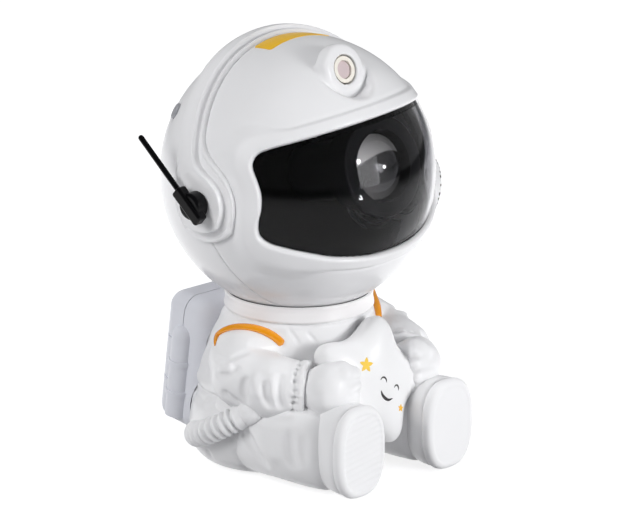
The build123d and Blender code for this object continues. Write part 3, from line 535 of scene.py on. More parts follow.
def grille_with_painted_hole_shade(name, colour, dark=0.012):
    """White grille with dark dots painted on the lattice of the real holes, out to its rim: painted
    shade that stands for the holes, also where the moulding has none.
    """
    tree, shader = new_look(name)
    head_m = Matrix.Translation((0, 0, HEAD_Z * MM)) @ HEAD.to_3x3().to_4x4()
    local = frame["nodes"]["speaker_mesh"].matrix_world.inverted() @ head_m
    start, turn = local.translation, local.to_3x3()
    out = Vector(outward(-SPK_AZ, -SPK_DIP))
    side = out.cross(Vector((0, 0, 1))).normalized()
    u = worked(tree, "DIVIDE", measured(tree, start, turn @ side), HOLE_PITCH * MM)
    v = worked(tree, "DIVIDE", measured(tree, start, turn @ out.cross(side)),
               ROW_SHARE * HOLE_PITCH * MM)
    row = worked(tree, "ROUND", v)
    odd = worked(tree, "MODULO", worked(tree, "ABSOLUTE", row), 2.0)
    shifted = worked(tree, "SUBTRACT", u, product(tree, odd, 0.5))
    du = worked(tree, "SUBTRACT", shifted, worked(tree, "ROUND", shifted))
    dv = product(tree, worked(tree, "SUBTRACT", v, row), ROW_SHARE)
    hole = HOLE_R / HOLE_PITCH
    between = ramp(tree, length(tree, du, dv), hole * 1.04, hole * 1.10, 0, 1)
    facing = dot(tree, node(tree, "TexCoord").outputs["Normal"], turn @ out)
    solid = larger(tree, ramp(tree, facing, 0.15, 0.25, 1, 0), between)
    white = tint(tree, grain(tree, 22.0, 4.0, 0.55), tuple(c * 0.98 for c in colour), colour)
    # painted shade: the dots take the dark colour on surfaces that face out, standing for the shade
    # in holes
    feed(tree, shader, {"Base Color": tint(tree, solid, (dark, dark, dark), white),
                        "Roughness": 0.4})


def lens_look(name):
    """Coated glass dome with a painted reflection in its emission: a bright sky above a dark curved
    horizon, and a painted glint, fixed to the lens.
    """
    tree, shader = new_look(name)
    origin = LENS @ Vector((0, -LENS_RIM, 0)) * MM
    # across and up from the middle of the rim, in metres
    x = measured(tree, origin, LENS.to_3x3() @ Vector((1, 0, 0)))
    z = measured(tree, origin, LENS.to_3x3() @ Vector((0, 0, 1)))
    # painted reflection: a circle on the lens parts a painted sky above from a painted ground below
    rise = length(tree, x, worked(tree, "ADD", z, PAINTED_HORIZON_DROP))
    above = ramp(tree, rise, PAINTED_HORIZON_R, PAINTED_HORIZON_R + 0.0007, 0, 1)
    # painted reflection of a bright sky, lighter towards the figure's right and dimmer near the top
    # of the lens
    sky = product(tree, ramp(tree, x, -0.011, 0.008, 0.80, 0.16),
                  ramp(tree, z, 0.005, 0.014, 1.0, 0.4))
    # painted reflection of a dark ground, a little lighter towards the figure's right and along the
    # bottom
    painted_ground_reflection = worked(tree, "ADD", ramp(tree, z, -0.0075, -0.0068, 0.05, 0.0),
                    ramp(tree, x, -0.012, 0.004, 0.10, 0.0))
    level = worked(tree, "ADD", product(tree, above, sky),
                   product(tree, worked(tree, "SUBTRACT", 1.0, above), painted_ground_reflection))
    # painted glint: a small bright spot just to the figure's right of the middle
    to_painted_glint = length(tree, worked(tree, "ADD", x, 0.0017), z)
    level = larger(tree, level, ramp(tree, to_painted_glint, 0.0006, 0.0010, 4.0, 0.0))
    # the glass itself is near black; its emission paints the reflection and the glint
    feed(tree, shader, {
        "Base Color": (0.008, 0.008, 0.009, 1), "Roughness": 0.02, "IOR": 1.5,
        "Emission Color": tint(tree, grain(tree, 120.0, 2.0), (0.94, 0.92, 0.90),
                               (1.0, 0.99, 0.98)),
        "Emission Strength": level})


def board(name, mask, track):
    """Circuit board: copper tracks faintly raised under the mask."""
    tree, shader = new_look(name)
    brick = node(tree, "TexBrick", {"Vector": local_point(tree), "Scale": 260.0,
                                    "Mortar Size": 0.06}).outputs["Fac"]
    feed(tree, shader, {"Base Color": tint(tree, brick, mask, track), "Roughness": 0.35})
    bumped(tree, shader, brick, 0.3, 0.00005)


def clear(name, colour, rough, ior, ripple=0.0):
    """Clear or smoked moulding, rippled where asked."""
    tree, shader = new_look(name)
    haze = grain(tree, 35.0, 3.0)
    feed(tree, shader, {
        "Base Color": tint(tree, haze, tuple(c * 0.96 for c in colour), colour),
        "Roughness": ramp(tree, haze, 0.3, 0.7, rough, rough + 0.02),
        "IOR": ior, "Transmission Weight": 1.0})
    if ripple:
        bumped(tree, shader, grain(tree, 160.0, 1.0, 0.4), 0.6, ripple)


plastic("shell_white", (0.80, 0.80, 0.812), 0.30, coat=0.25)
plastic("suit_white", (0.82, 0.82, 0.83), 0.36, coat=0.12)
plastic("collar_white", (0.85, 0.835, 0.84), 0.32, coat=0.15)
plastic("pack_white", (0.70, 0.71, 0.76), 0.42)
grille_with_painted_hole_shade("mesh_white", (0.80, 0.80, 0.81))
plastic("star_white", (0.84, 0.84, 0.848), 0.34, coat=0.15)
plastic("sole_white", (0.85, 0.85, 0.86), 0.5)
plastic("antenna_black", (0.003, 0.003, 0.0035), 0.28, spread=0.1, shine=0.12)
plastic("frame_black", (0.002, 0.002, 0.002), 0.6, spread=0.1, shine=0.03)
plastic("barrel_black", (0.004, 0.004, 0.005), 0.3, spread=0.1, shine=0.12)
plastic("piping_orange", (0.80, 0.30, 0.008), 0.20, coat=0.5, spread=0.05)
plastic("patch_yellow", (0.90, 0.52, 0.012), 0.35, spread=0.04, shine=0.3)
plastic("ring_cream", (0.86, 0.82, 0.74), 0.3)
plastic("pad_rubber", (0.035, 0.035, 0.038), 0.7, spread=0.15, mould=0.0002)
plastic("glide_grey", (0.09, 0.09, 0.095), 0.45)
plastic("button_grey", (0.34, 0.345, 0.37), 0.35)
plastic("speaker_dark", (0.03, 0.03, 0.035), 0.6, spread=0.15, mould=0.0003)
plastic("led_yellow", (0.75, 0.62, 0.18), 0.25, coat=0.4)
plastic("window_pink", (0.66, 0.55, 0.56), 0.18, coat=0.6, spread=0.06)
metal("steel", (0.52, 0.52, 0.54), 0.32)
metal("magnet_nickel", (0.62, 0.60, 0.56), 0.2, (1, 1, 1))
metal("brass", (0.70, 0.50, 0.20), 0.28)
metal("aluminium", (0.66, 0.67, 0.69), 0.35)
metal("motor_can", (0.60, 0.60, 0.62), 0.25)
board("board_green", (0.01, 0.09, 0.035), (0.03, 0.16, 0.06))
board("board_white", (0.72, 0.72, 0.70), (0.6, 0.6, 0.58))
clear("visor_smoke", (0.54, 0.54, 0.56), 0.0, 1.19)
clear("disc_clear", (0.92, 0.95, 0.97), 0.03, 1.10, ripple=0.0004)
# lens glass that glows with a painted reflection and a painted glint
lens_look("lens_glass")
# the prints on the star, which have no slot
plastic("print_ink", (0.012, 0.008, 0.010), 0.4, spread=0.1)
plastic("print_yellow", (0.95, 0.62, 0.07), 0.35, spread=0.10)
plastic("print_orange", (0.90, 0.48, 0.03), 0.35, spread=0.10)


def dress_solids():
    """Gives every CAD node the material of its slot, and the pod the grille's look with its painted
    hole shade.
    """
    for part in frame["record"]["subparts"]:
        obj = frame["nodes"][part["node"]]
        obj.data.materials.clear()
        obj.data.materials.append(M[part["material_slot"]])
    # painted shade: the solid ring of the pod gets the grille's dark dots, painted where it has no
    # holes
    frame["nodes"]["left_speaker_pod"].data.materials[0] = M["mesh_white"]


# ---- light and floor ----
LAMP_AIM = Vector((0, 0, 0.11))
SOFT_LAMPS = {      # place and width in metres, power in watts
    "key": ((0.40, -1.36, 0.30), 0.50, 14.0),
    "side": ((-1.20, 0.20, 0.85), 0.60, 12.0),
    "top": ((-0.20, -0.50, 1.25), 0.70, 1.2),
    "back": ((0.30, 1.35, 0.70), 0.60, 4.0),
}
GLINTS = {          # these only show as highlights
    "glint": ((0.10, -0.81, 0.39), 0.06, 1.5),
    "spark": ((0.043, -0.55, 0.05), 0.035, 0.3),
}
FLOOR_HALF, FLOOR_Z = 6.0, -0.0002


def lamps():
    for name, (place, size, power) in {**SOFT_LAMPS, **GLINTS}.items():
        data = bpy.data.lights.new(name, "AREA")
        data.shape = "DISK" if name in GLINTS else "RECTANGLE"
        data.size = data.size_y = size
        data.energy = power
        obj = add(name, data, place, LAMP_AIM - Vector(place))
        obj.visible_glossy = name in GLINTS
        obj.visible_diffuse = name not in GLINTS


def sky():
    """Room that is white to the eye, and darker on the figure's right as light and in shine."""
    world = bpy.data.worlds.new("studio")
    bpy.context.scene.world = world
    world.use_nodes = True
    tree = world.node_tree
    tree.nodes.clear()
    path = node(tree, "LightPath").outputs
    seen = larger(tree, path["Is Camera Ray"], path["Is Transmission Ray"])
    split = node(tree, "SeparateXYZ", {0: node(tree, "TexCoord").outputs["Generated"]}).outputs
    lit = node(tree, "Background", {
        "Color": (0.96, 0.97, 1.0, 1),
        "Strength": product(tree, ramp(tree, split["Z"], -0.4, 0.8, 0.44, 0.36),
                            ramp(tree, split["X"], -0.8, 0.4, 0.40, 1.05))})
    shown = node(tree, "Background", {
        "Color": (1, 1, 1, 1),
        "Strength": larger(tree, seen, ramp(tree, split["X"], -0.6, 0.8, 0.03, 0.34))})
    mix = node(tree, "MixShader", {"Fac": larger(tree, seen, path["Is Glossy Ray"]),
                                   1: lit.outputs[0], 2: shown.outputs[0]})
    node(tree, "OutputWorld", {"Surface": mix.outputs[0]})


def floor():
    """White floor that glows to the eye, and in shine as a bright table that fades out."""
    tree, shader = new_look("floor_white")
    feed(tree, shader, {"Base Color": (0.42, 0.42, 0.43, 1), "Roughness": 0.9,
                        "Specular IOR Level": 0.1})
    path = node(tree, "LightPath").outputs
    away = node(tree, "VectorMath", {0: local_point(tree)}, "LENGTH").outputs["Value"]
    table = product(tree, path["Is Glossy Ray"], ramp(tree, away, 0.55, 1.3, 1.2, 0.0))
    level = worked(tree, "ADD", ramp(tree, path["Is Camera Ray"], 0, 1, 0.0, 0.80), table)
    glow = node(tree, "Emission", {"Color": (1, 1, 1, 1), "Strength": level})
    both = node(tree, "AddShader", {0: shader.outputs[0], 1: glow.outputs[0]})
    feed(tree, tree.nodes["Material Output"], {"Surface": both.outputs[0]})
    mesh = bpy.data.meshes.new("floor")
    mesh.from_pydata([(x * FLOOR_HALF, y * FLOOR_HALF, FLOOR_Z)
                      for x, y in ((-1, -1), (1, -1), (1, 1), (-1, 1))], [], [(0, 1, 2, 3)])
    mesh.materials.append(M["floor_white"])
    add("floor", mesh)


bpy.context.scene.view_settings.view_transform = "Standard"
camera()
sky()
lamps()
floor()
dress_solids()


# ---- helmet, worked out in the upright head frame ----
WALL = 2.4
JOINT_GAP = 0.06                    # each half of the shell stands this far off the joint
BOSS_Y, BOSS_Z, BOSS_R, BOSS_DRAFT = 50.0, 43.0, 12.4, 1.6
LASER_BORE_R = 7.0
BUTTON_BORE_R, PIVOT_BORE_R = 4.3, 2.3
EAR_AZ, EAR_ELEV, EAR_R, EAR_TOP_R, EAR_H = 86.5, 2.0, 17.8, 13.2, 3.6
EAR_DIR = outward(EAR_AZ, EAR_ELEV)
SPK_DIR = outward(-SPK_AZ, -SPK_DIP)
BUTTON_DIRS = (outward(121.0, 42.0), outward(-121.0, 42.0))
USB_Z, VENT_PITCH = -0.48 * HEAD_R, 5.0
BACK_Y, BUTTON_REACH = 30.0, 50.0   # the cuts at the back are made only beyond these
FACE_HALF = [       # azimuth and elevation of the edge of the face opening, in degrees
    (0, 17), (20, 17), (40, 17), (51, 17), (57, 16), (60, 12), (59.4, 6), (59.2, 0), (61, -6),
    (64, -11), (65.6, -15.5), (64.6, -19), (61, -22.5), (53, -27.2), (44, -32), (35, -36),
    (17, -40.5), (0, -41.5)]


def face_outline():
    """Outline of the face opening, unrolled on the ball, in mm."""
    pts = FACE_HALF + [(-a, e) for a, e in reversed(FACE_HALF[1:-1])]
    plan = [HEAD_R * np.radians((a * math.cos(math.radians(e)), e)) for a, e in pts]
    n = len(plan)
    out = []
    for i in range(n):
        out += spline([plan[(i + k) % n] for k in (-1, 0, 1, 2)], 6)
    return np.array(out)


MAP_STEP = 0.5
MAP_HALF_U, MAP_HALF_V = 110.0, 90.0


def face_map():
    """Distance to the visor outline over the unrolled ball, negative inside the opening."""
    ring = face_outline()
    u = np.arange(-MAP_HALF_U, MAP_HALF_U + MAP_STEP, MAP_STEP)
    v = np.arange(-MAP_HALF_V, MAP_HALF_V + MAP_STEP, MAP_STEP)
    uu, vv = np.meshgrid(u, v, indexing="ij")
    best = np.full(uu.shape, 1e9)
    odd = np.zeros(uu.shape, bool)
    for i in range(len(ring)):
        a, b = ring[i], ring[(i + 1) % len(ring)]
        ab = b - a
        t = np.clip(((uu - a[0]) * ab[0] + (vv - a[1]) * ab[1]) / (ab @ ab), 0, 1)
        best = np.minimum(best, np.hypot(uu - a[0] - t * ab[0], vv - a[1] - t * ab[1]))
        spans = (a[1] > vv) != (b[1] > vv)
        if abs(ab[1]) > 1e-9:
            odd ^= spans & (uu < ab[0] * (vv - a[1]) / ab[1] + a[0])
    return np.where(odd, -best, best)


FACE_MAP = face_map()


def unroll(p):
    """Ball coordinates: mm round from the face and mm up."""
    r = np.maximum(np.linalg.norm(p, axis=1), 1e-6)
    elev = np.arcsin(np.clip(p[:, 2] / r, -1, 1))
    az = np.arctan2(-p[:, 0], -p[:, 1])
    return HEAD_R * az * np.cos(elev), HEAD_R * elev


def face_distance(p):
    """Distance to the edge of the face opening, read from the map."""
    u, v = unroll(p)
    fu = np.clip((u + MAP_HALF_U) / MAP_STEP, 0, FACE_MAP.shape[0] - 1.001)
    fv = np.clip((v + MAP_HALF_V) / MAP_STEP, 0, FACE_MAP.shape[1] - 1.001)
    i, j = fu.astype(int), fv.astype(int)
    a, b = fu - i, fv - j
    m = FACE_MAP
    return ((1 - a) * (1 - b) * m[i, j] + a * (1 - b) * m[i + 1, j]
            + (1 - a) * b * m[i, j + 1] + a * b * m[i + 1, j + 1])


def bored(d, p, axis, radius, edge, beyond=0.0):
    """Cuts a round hole, along an axis through the ball's centre and further out than beyond."""
    h = p @ axis
    spoke = np.sqrt(np.maximum((p * p).sum(1) - h * h, 0))
    return smax(d, -smax(spoke - radius, beyond - h, 0.2), edge)


def slotted(d, p, z, half_x, half_z, r, edge):
    """Cuts a round-ended slot through the back of the ball."""
    out = np.hypot(np.maximum(np.abs(p[:, 0]) - half_x, 0),
                   np.maximum(np.abs(p[:, 2] - z) - half_z, 0)) - r
    return smax(d, -smax(out, BACK_Y - p[:, 1], 0.2), edge)


def relief(p):
    """Height of the face surround over the ball."""
    d = face_distance(p)
    u, v = unroll(p)
    brim = ease(v, 5, 16) * (1 - ease(np.abs(u), 40, 60))
    chin = ease(-v, 20, 34) * (1 - ease(np.abs(u), 30, 55))
    edge = 8.2 - 3.4 * brim - 3.6 * chin
    plain = (1 - brim) * (1 - chin)
    lift = 1.35 * (1 - ease(d, edge - 2.0 * plain, edge + 2.2 + 4.5 * plain))
    lift = lift + 0.45 * (1 - ease(d, 0.0, 2.4))
    return lift - 0.25 * (1 - plain) * bell(d - edge - 2.4, 0.8)


def front_skin(p):
    r = np.linalg.norm(p, axis=1)
    outer = r - HEAD_R - relief(p)
    d = smax(outer, -0.9 * face_distance(p), 2.2)
    d = smax(d, HEAD_R - WALL - r, 0.4)
    across = np.hypot(p[:, 0], p[:, 2] - BOSS_Z)
    ahead = -(p[:, 1] + BOSS_Y)
    flare = BOSS_R + 1.2 + BOSS_DRAFT * np.clip(ahead, 0, 16) / 15
    pocket = smax(smax(across - flare - 1.8, -ahead - 6.0, 0.5), outer, 0.5)
    d = smin(d, pocket, 0.3)
    d = smax(d, -smax(across - flare, -ahead - 1.6, 1.0), 2.6)
    boss = smax(across - BOSS_R, ahead, 3.6)
    d = smin(d, smax(boss, -ahead - 7.0, 0.5), 1.8)
    d = smax(d, -(across - LASER_BORE_R), 0.5)
    d = bored(d, p, SPK_DIR, SPK_BORE_R, 0.3)
    return smax(d, p[:, 1] + JOINT_GAP, 0.7)


def rear_skin(p):
    r = np.linalg.norm(p, axis=1)
    d = smax(r - HEAD_R, HEAD_R - WALL - r, 0.4)
    for axis in BUTTON_DIRS:
        d = bored(d, p, axis, BUTTON_BORE_R, 0.9, BUTTON_REACH)
    d = slotted(d, p, USB_Z, 3.1, 0.1, 1.8, 0.8)
    for i in (-2, -1, 0, 1, 2):
        d = slotted(d, p, i * VENT_PITCH, 13.0 - abs(i) * 2.2 - 0.8, 0, 0.8, 0.5)
    d = bored(d, p, SPK_DIR, SPK_BORE_R, 0.3)
    return smax(d, JOINT_GAP - p[:, 1], 0.7)


SHELL = ("shell_white", "head", HEAD)
carve("helmet_front_skin", front_skin, (-68, -69, -68), (68, 2, 68), 0.8,
      ("helmet_front_shell",), *SHELL)
carve("helmet_rear_skin", rear_skin, (-67, -2, -67), (67, 67, 67), 0.9,
      ("helmet_rear_shell",), *SHELL)


# ---- headphone band and ear pod, one moulding ----
BAND_HALF, BAND_LIP, BAND_H = 5.6, 2.8, 4.9


def band_plan(p, half, ear, k):
    """Distance in the unrolled plan to the band run into the ear's circle, and to the ear."""
    r = np.maximum(np.linalg.norm(p, axis=1), 1e-6)
    strip = HEAD_R * np.abs(np.arcsin(np.clip(p[:, 1] / r, -1, 1))) - half
    below = np.where(p[:, 0] < 0, -p[:, 2] * 0.5 - 1.0, -60.0)
    away = HEAD_R * np.arccos(np.clip(p @ EAR_DIR / r, -1, 1))
    return smin(np.maximum(strip, below), away - ear, k), away, r


def band_skin(p):
    low, away, r = band_plan(p, BAND_HALF + BAND_LIP + 0.1, EAR_R + 0.4, 15.0)
    top, _, _ = band_plan(p, BAND_HALF + 0.2, EAR_TOP_R + 0.2, 11.0)
    flat = (HEAD_R + EAR_H) / np.cos(np.clip(away / HEAD_R, 0, 1.2)) - HEAD_R
    at_ear = 1 - ease(away, 10.0, 22.0)
    crown = BAND_H + (np.minimum(flat, BAND_H + 0.4) - BAND_H) * at_ear
    arch = 0.55 * ease(-top, 0.0, BAND_HALF) * (1 - at_ear)
    step = 0.9 + 0.2 * at_ear
    lip = (2.1 * ease(-low, -0.6, 0.9) * (1 - ease(-low, 1.5, 2.6))
           + step * ease(-low, 1.4, 2.6))
    body = (crown + arch - 0.5) * ease(-top, -0.35, 1.5)
    d = (r - HEAD_R - np.maximum(lip, body)) * 0.75
    d = smax(d, low, 0.5)
    d = smax(d, HEAD_R - 1.2 - r, 0.3)
    d = bored(d, p, SPK_DIR, SPK_R - 0.2, 0.2)
    return bored(d, p, EAR_DIR, PIVOT_BORE_R, 0.2)


carve("headphone_band_skin", band_skin, (-72, -26, -22), (72, 26, 72), 0.42,
      ("headphone_band", "right_ear_pod"), *SHELL)


def lens_dome():
    """Thick glass lens: a rod with a domed front, turned about the optical axis."""
    sag = LENS_APEX - LENS_RIM
    dome_r = (LENS_R ** 2 + sag ** 2) / (2 * sag)
    profile = [(r, LENS_APEX - dome_r + math.sqrt(dome_r ** 2 - r ** 2))
               for r in np.linspace(0.01, LENS_R - 0.4, 30)]
    profile += [(LENS_R - 0.1, LENS_RIM + 0.1), (LENS_R, LENS_RIM - 0.3), (LENS_R, LENS_BACK)]
    turns, rows = 128, len(profile)
    faces = grid(turns, rows, True, False)
    faces += [[k * rows for k in range(turns)][::-1], [k * rows + rows - 1 for k in range(turns)]]
    points = [tuple(LENS @ Vector((x, -z, y))) for x, y, z in turned(profile, turns)]
    piece("nebula_lens_skin", points, faces, "lens_glass", "head", ("nebula_lens",))


lens_dome()


# ---- suit ----
TORSO = [           # height, half width, half depth, how far back
    (0.5, 45.5, 37.5, 3.0), (3.0, 49.5, 41.0, 2.6), (8.0, 53.6, 44.2, 2.0), (18.0, 55.8, 45.8, 1.0),
    (28.0, 53.6, 44.4, 1.4), (33.0, 49.5, 41.8, 2.2), (40.0, 46.6, 39.8, 3.4),
    (50.0, 44.0, 38.0, 4.4), (60.0, 40.9, 36.9, 4.0), (68.0, 37.2, 35.6, 1.6),
    (74.0, 34.8, 34.8, 0.0), (80.0, 34.0, 34.0, 0.0),
]
TORSO_TABLE = np.array(smooth_path(TORSO, 8))
TORSO_MIDDLE, TORSO_HALF = 37.2, 36.6
SHOULDER, SHOULDER_R = (36.5, -3.0, 52.3), 17.6
ELBOW = (46.3, -10.0, 48.5)
FOREARM = (41.5, -24.0, 45.5)
CUFF = (32.5, -37.0, 44.9)
HAND = (29.0, -47.5, 45.8)
SLEEVE_R = (15.6, 14.2, 14.6, 12.7)     # at the shoulder, elbow, forearm and cuff
HAND_R = 12.5
DISH_GAP = 2.2                          # room between the suit and the ball above it
SKIRT_Z, LIP_Z, SEAM_Z, HEM_Z, ROLL_Z, WAIST_Z = 29.5, 33.6, 35.6, 36.0, 38.6, 40.0
CHEST_Z, ARMPIT_Z, NECK_SEAM_Z = 47.0, 54.0, 71.6


def looked_up(table, at):
    """The other columns of a table where its first column has these values."""
    at = np.clip(at, table[0, 0], table[-1, 0])
    return [np.interp(at, table[:, 0], table[:, k]) for k in (1, 2, 3)]


def torso_base(p):
    """Upright form with elliptical cross-sections, and its shoulders."""
    a, b, back = looked_up(TORSO_TABLE, p[:, 2])
    y = p[:, 1] - back
    k0 = np.sqrt((p[:, 0] / a) ** 2 + (y / b) ** 2)
    k1 = np.sqrt((p[:, 0] / a ** 2) ** 2 + (y / b ** 2) ** 2)
    d = k0 * (k0 - 1) / np.maximum(k1, 1e-6)
    d = smax(d, np.abs(p[:, 2] - TORSO_MIDDLE) - TORSO_HALF, 2.0)
    for side in (1, -1):
        d = smin(d, ball(p, mirror(SHOULDER, side), SHOULDER_R - 0.2), 5.0)
    return d


def limb(p, side, joints, radii, k=0.0):
    """Chain through joints that are given for the figure's left."""
    return chain(p, [mirror(v, side) for v in joints], radii, k)


# folds: where the photograph shows them, their depth and their half width
STRAP_FOLDS_PX = (
    (((286, 325), (294, 337), (302, 349)), 0.9, 0.9),
    (((305, 330), (313, 339), (321, 348)), 1.1, 0.7),
    (((360, 319), (350, 328), (338, 337)), 0.9, 0.9),
    (((276, 318), (290, 322), (306, 326), (322, 326)), 0.35, 2.2),
)
HIP_FOLDS_PX = (
    (((205, 401), (211, 398), (218, 396.5)), 1.6, 1.6),
    (((206, 449), (209, 454), (212, 460)), 1.3, 1.5),
    (((236, 446), (244, 462), (254, 478)), 2.0, 2.6),
)
BACK_FOLDS = (      # start, end, depth
    ((30, 44, 52), (47, 30, 30), 1.2), ((-18, 44, 22), (-38, 36, 12), 1.4),
    ((16, 45, 20), (36, 38, 11), 1.4), ((0, 47, 26), (3, 46, 9), 0.9),
)
TORSO_FOLDS = read_folds(STRAP_FOLDS_PX, torso_base)
for points, depth, width in read_folds(HIP_FOLDS_PX, torso_base):
    TORSO_FOLDS += [(points, depth, width), ([v * (-1, 1, 1) for v in points], depth, width)]
for start, end, depth in BACK_FOLDS:
    start, end = np.array(start, float), np.array(end, float)
    TORSO_FOLDS.append(([start, (start + end) / 2 + (0, 2, 0), end], depth, 3.0))


def suit_body(p):
    """Jacket over trousers, dished under the ball so that the chin passes over it."""
    d = torso_base(p)
    z = p[:, 2]
    jacket = 1.5 * switch((z - HEM_Z) / 0.7) * np.exp(-np.maximum(z - WAIST_Z, 0) / 9.0)
    d = d - jacket - 0.7 * bell(z - ROLL_Z, 3.4) - 0.7 * bell(z - LIP_Z, 1.5)
    d = d + 0.9 * bell(z - SEAM_Z, 0.8) + 1.1 * bell(z - NECK_SEAM_Z, 0.75)
    around = np.arctan2(p[:, 0], -(p[:, 1] - 2.0))
    soft = 0.5 * np.sin(around * 9 + z * 0.12) + 0.25 * np.sin(around * 17 - z * 0.2)
    gather = 0.35 * np.sin(around * 26 + 0.7 * np.sin(around * 5))
    d = d + bell(z - CHEST_Z, 8.0) * soft + bell(z - SKIRT_Z, 3.6) * gather
    d = folded(p, d, TORSO_FOLDS)
    for side in (-1, 1):
        arm = limb(p, side, (ELBOW, FOREARM, CUFF), SLEEVE_R[1:])
        d = pinch(d, arm, 2.6 * np.exp(-np.maximum(z - ARMPIT_Z, 0) / 5.0), 2.4)
    return smax(d, HEAD_R + DISH_GAP - np.linalg.norm(p - CENTRE, axis=1), 0.4)


carve("suit_body", suit_body, (-60, -50, -1), (60, 52, 78), 0.9,
      ("torso_front_shell", "torso_rear_shell"))


# ---- sleeves ----
SLEEVE_FOLDS_PX = (
    (((214, 356), (220, 359.5), (228, 359.5), (237, 355.5), (252, 351)), 3.4, 1.3),
    (((215, 372), (222, 376), (229, 375.5), (235, 371), (240, 364)), 2.6, 1.5),
    (((248, 375), (245, 384), (244.5, 394), (249, 406)), 3.0, 1.5),
    (((265, 379), (265, 389), (266.5, 399), (272, 410)), 3.0, 1.6),
    (((282, 372), (279.5, 384), (279, 397), (283, 412)), 3.4, 1.6),
    (((293, 383), (291, 395), (293, 408)), 1.6, 1.3),
    (((221, 389), (231, 398), (243, 406)), 1.7, 1.8),
    (((256.5, 370), (255, 385), (258, 401)), -1.2, 2.3),
    (((273, 370), (272.5, 386), (276, 404)), -1.2, 2.3),
    (((218, 366), (226, 368), (234, 364)), -1.6, 2.3),
    (((246, 345), (262, 347), (282, 350)), 1.3, 2.5),
)


def sleeve_base(p, side):
    top = (SHOULDER[0] + 2.5, SHOULDER[1] + 0.5, SHOULDER[2] - 0.3)
    d = limb(p, side, (top, ELBOW, FOREARM, CUFF), SLEEVE_R, 3.0)
    return smin(d, ball(p, mirror(SHOULDER, side), SHOULDER_R), 4.0)


SLEEVE_FOLDS = read_folds(SLEEVE_FOLDS_PX, lambda p: sleeve_base(p, -1))
CUFF_BAND_R, CUFF_BAND_BACK, CUFF_BAND_HALF = 13.2, 2.4, 3.6


def cuff_frame(side):
    """End of the forearm at the cuff, its axis, and two directions across it."""
    a, b = np.asarray(mirror(FOREARM, side)), np.asarray(mirror(CUFF, side))
    axis = unit(b - a)
    across = unit(np.cross(axis, (0, 0, 1.0)))
    return b, axis, across, np.cross(across, axis)


def sleeve_skin(p, side):
    """Folded sleeve that ends in a gathered cuff."""
    d = folded(p, sleeve_base(p, side), SLEEVE_FOLDS, side, 0.3)
    centre, axis, u, v = cuff_frame(side)
    q = p - centre
    s = q @ axis
    around = np.arctan2(q @ v, q @ u)
    wave = np.sin(around * 9 + 0.8 * np.sin(around * 4))
    radius = CUFF_BAND_R + 0.9 * ease(s, -4.0, -1.0) - 0.5 * ease(s, -0.6, 1.2) + 0.28 * wave
    band = smax(np.hypot(q @ u, q @ v) - radius, np.abs(s + CUFF_BAND_BACK) - CUFF_BAND_HALF, 0.9)
    d = smin(smax(d, s - 1.0, 0.8), band, 1.2)
    past = s + 3.2 - 0.5 * np.sin(around * 5 + 1)
    gather = 0.5 + 0.5 * np.cos(around * 22 + np.sin(around * 6))
    pucker = gather ** 2
    d = d + (0.5 + 1.5 * pucker) * bell(past, 0.6 + 0.5 * pucker)
    return d + 0.45 * gather * np.exp(-np.abs(past - 1.2) / 1.6)


for side in SIDES:
    carve_side(side, "sleeve", sleeve_skin, (14, -50, 26), (64, 22, 73), 0.7)


# ---- legs ----
LEG_TABLE = np.array(smooth_path([      # y, x, half width, half height
    (12.0, 29.0, 18.0, 19.0), (4.0, 29.6, 22.0, 22.2), (-8.0, 30.2, 23.0, 22.9),
    (-20.0, 30.6, 23.2, 22.6), (-32.0, 30.8, 22.6, 22.0), (-42.0, 30.6, 21.2, 21.2),
    (-49.0, 30.2, 19.2, 20.4), (-54.0, 30.0, 16.8, 19.0), (-58.5, 30.0, 13.0, 16.5)], 8))[::-1]
LEG_MIDDLE, LEG_HALF, LEG_POWER = -22.5, 35.0, 2.6
LEG_FOLDS_PX = (
    (((241, 424), (248, 440), (258, 456), (271, 471)), 4.2, 2.4),
    (((287, 426), (289, 441), (291, 456), (298, 472)), 3.2, 2.7),
    (((256, 434), (267, 450), (281, 466)), -1.3, 4.0),
    (((305, 430), (303, 450), (305, 470)), 1.1, 2.4),
    (((252, 417), (272, 421), (300, 421)), 1.2, 2.4),
    (((262, 474), (282, 481), (306, 485)), 1.0, 2.2),
)
INNER_FOLDS = (     # points in mm, depth, half width
    (((-9.0, -14, 34), (-7.2, -22, 22), (-9.5, -30, 10)), 1.4, 3.0),
    (((-10.0, -36, 34), (-9.0, -42, 22), (-10.5, -45, 10)), 1.0, 2.6),
)


def rounded(u, v, power):
    """1 on the edge of a rounded oblong, from shares of its half width and height."""
    return (u ** power + v ** power) ** (1 / power)


def leg_base(p, side):
    x, a, b = looked_up(LEG_TABLE, p[:, 1])
    size = rounded(np.abs(p[:, 0] * side - x) / a, np.abs(p[:, 2] - b - 0.4) / b, LEG_POWER)
    d = (size - 1) * np.minimum(a, b) * 0.94
    return smax(d, np.abs(p[:, 1] - LEG_MIDDLE) - LEG_HALF, 4.0)


LEG_FOLDS = read_folds(LEG_FOLDS_PX, lambda p: leg_base(p, -1))
LEG_FOLDS += [([np.array(v) for v in points], depth, width) for points, depth, width in INNER_FOLDS]


def leg_skin(p, side):
    d = folded(p, leg_base(p, side), LEG_FOLDS, side)
    arm = limb(p, side, (ELBOW, FOREARM, CUFF, HAND), (*SLEEVE_R[1:], HAND_R))
    return smax(pinch(d, arm, 1.5, 2.2), 0.5 - p[:, 2], 1.5)


for side in SIDES:
    carve_side(side, "leg", leg_skin, (4, -60, -1), (56, 16, 47), 0.8)


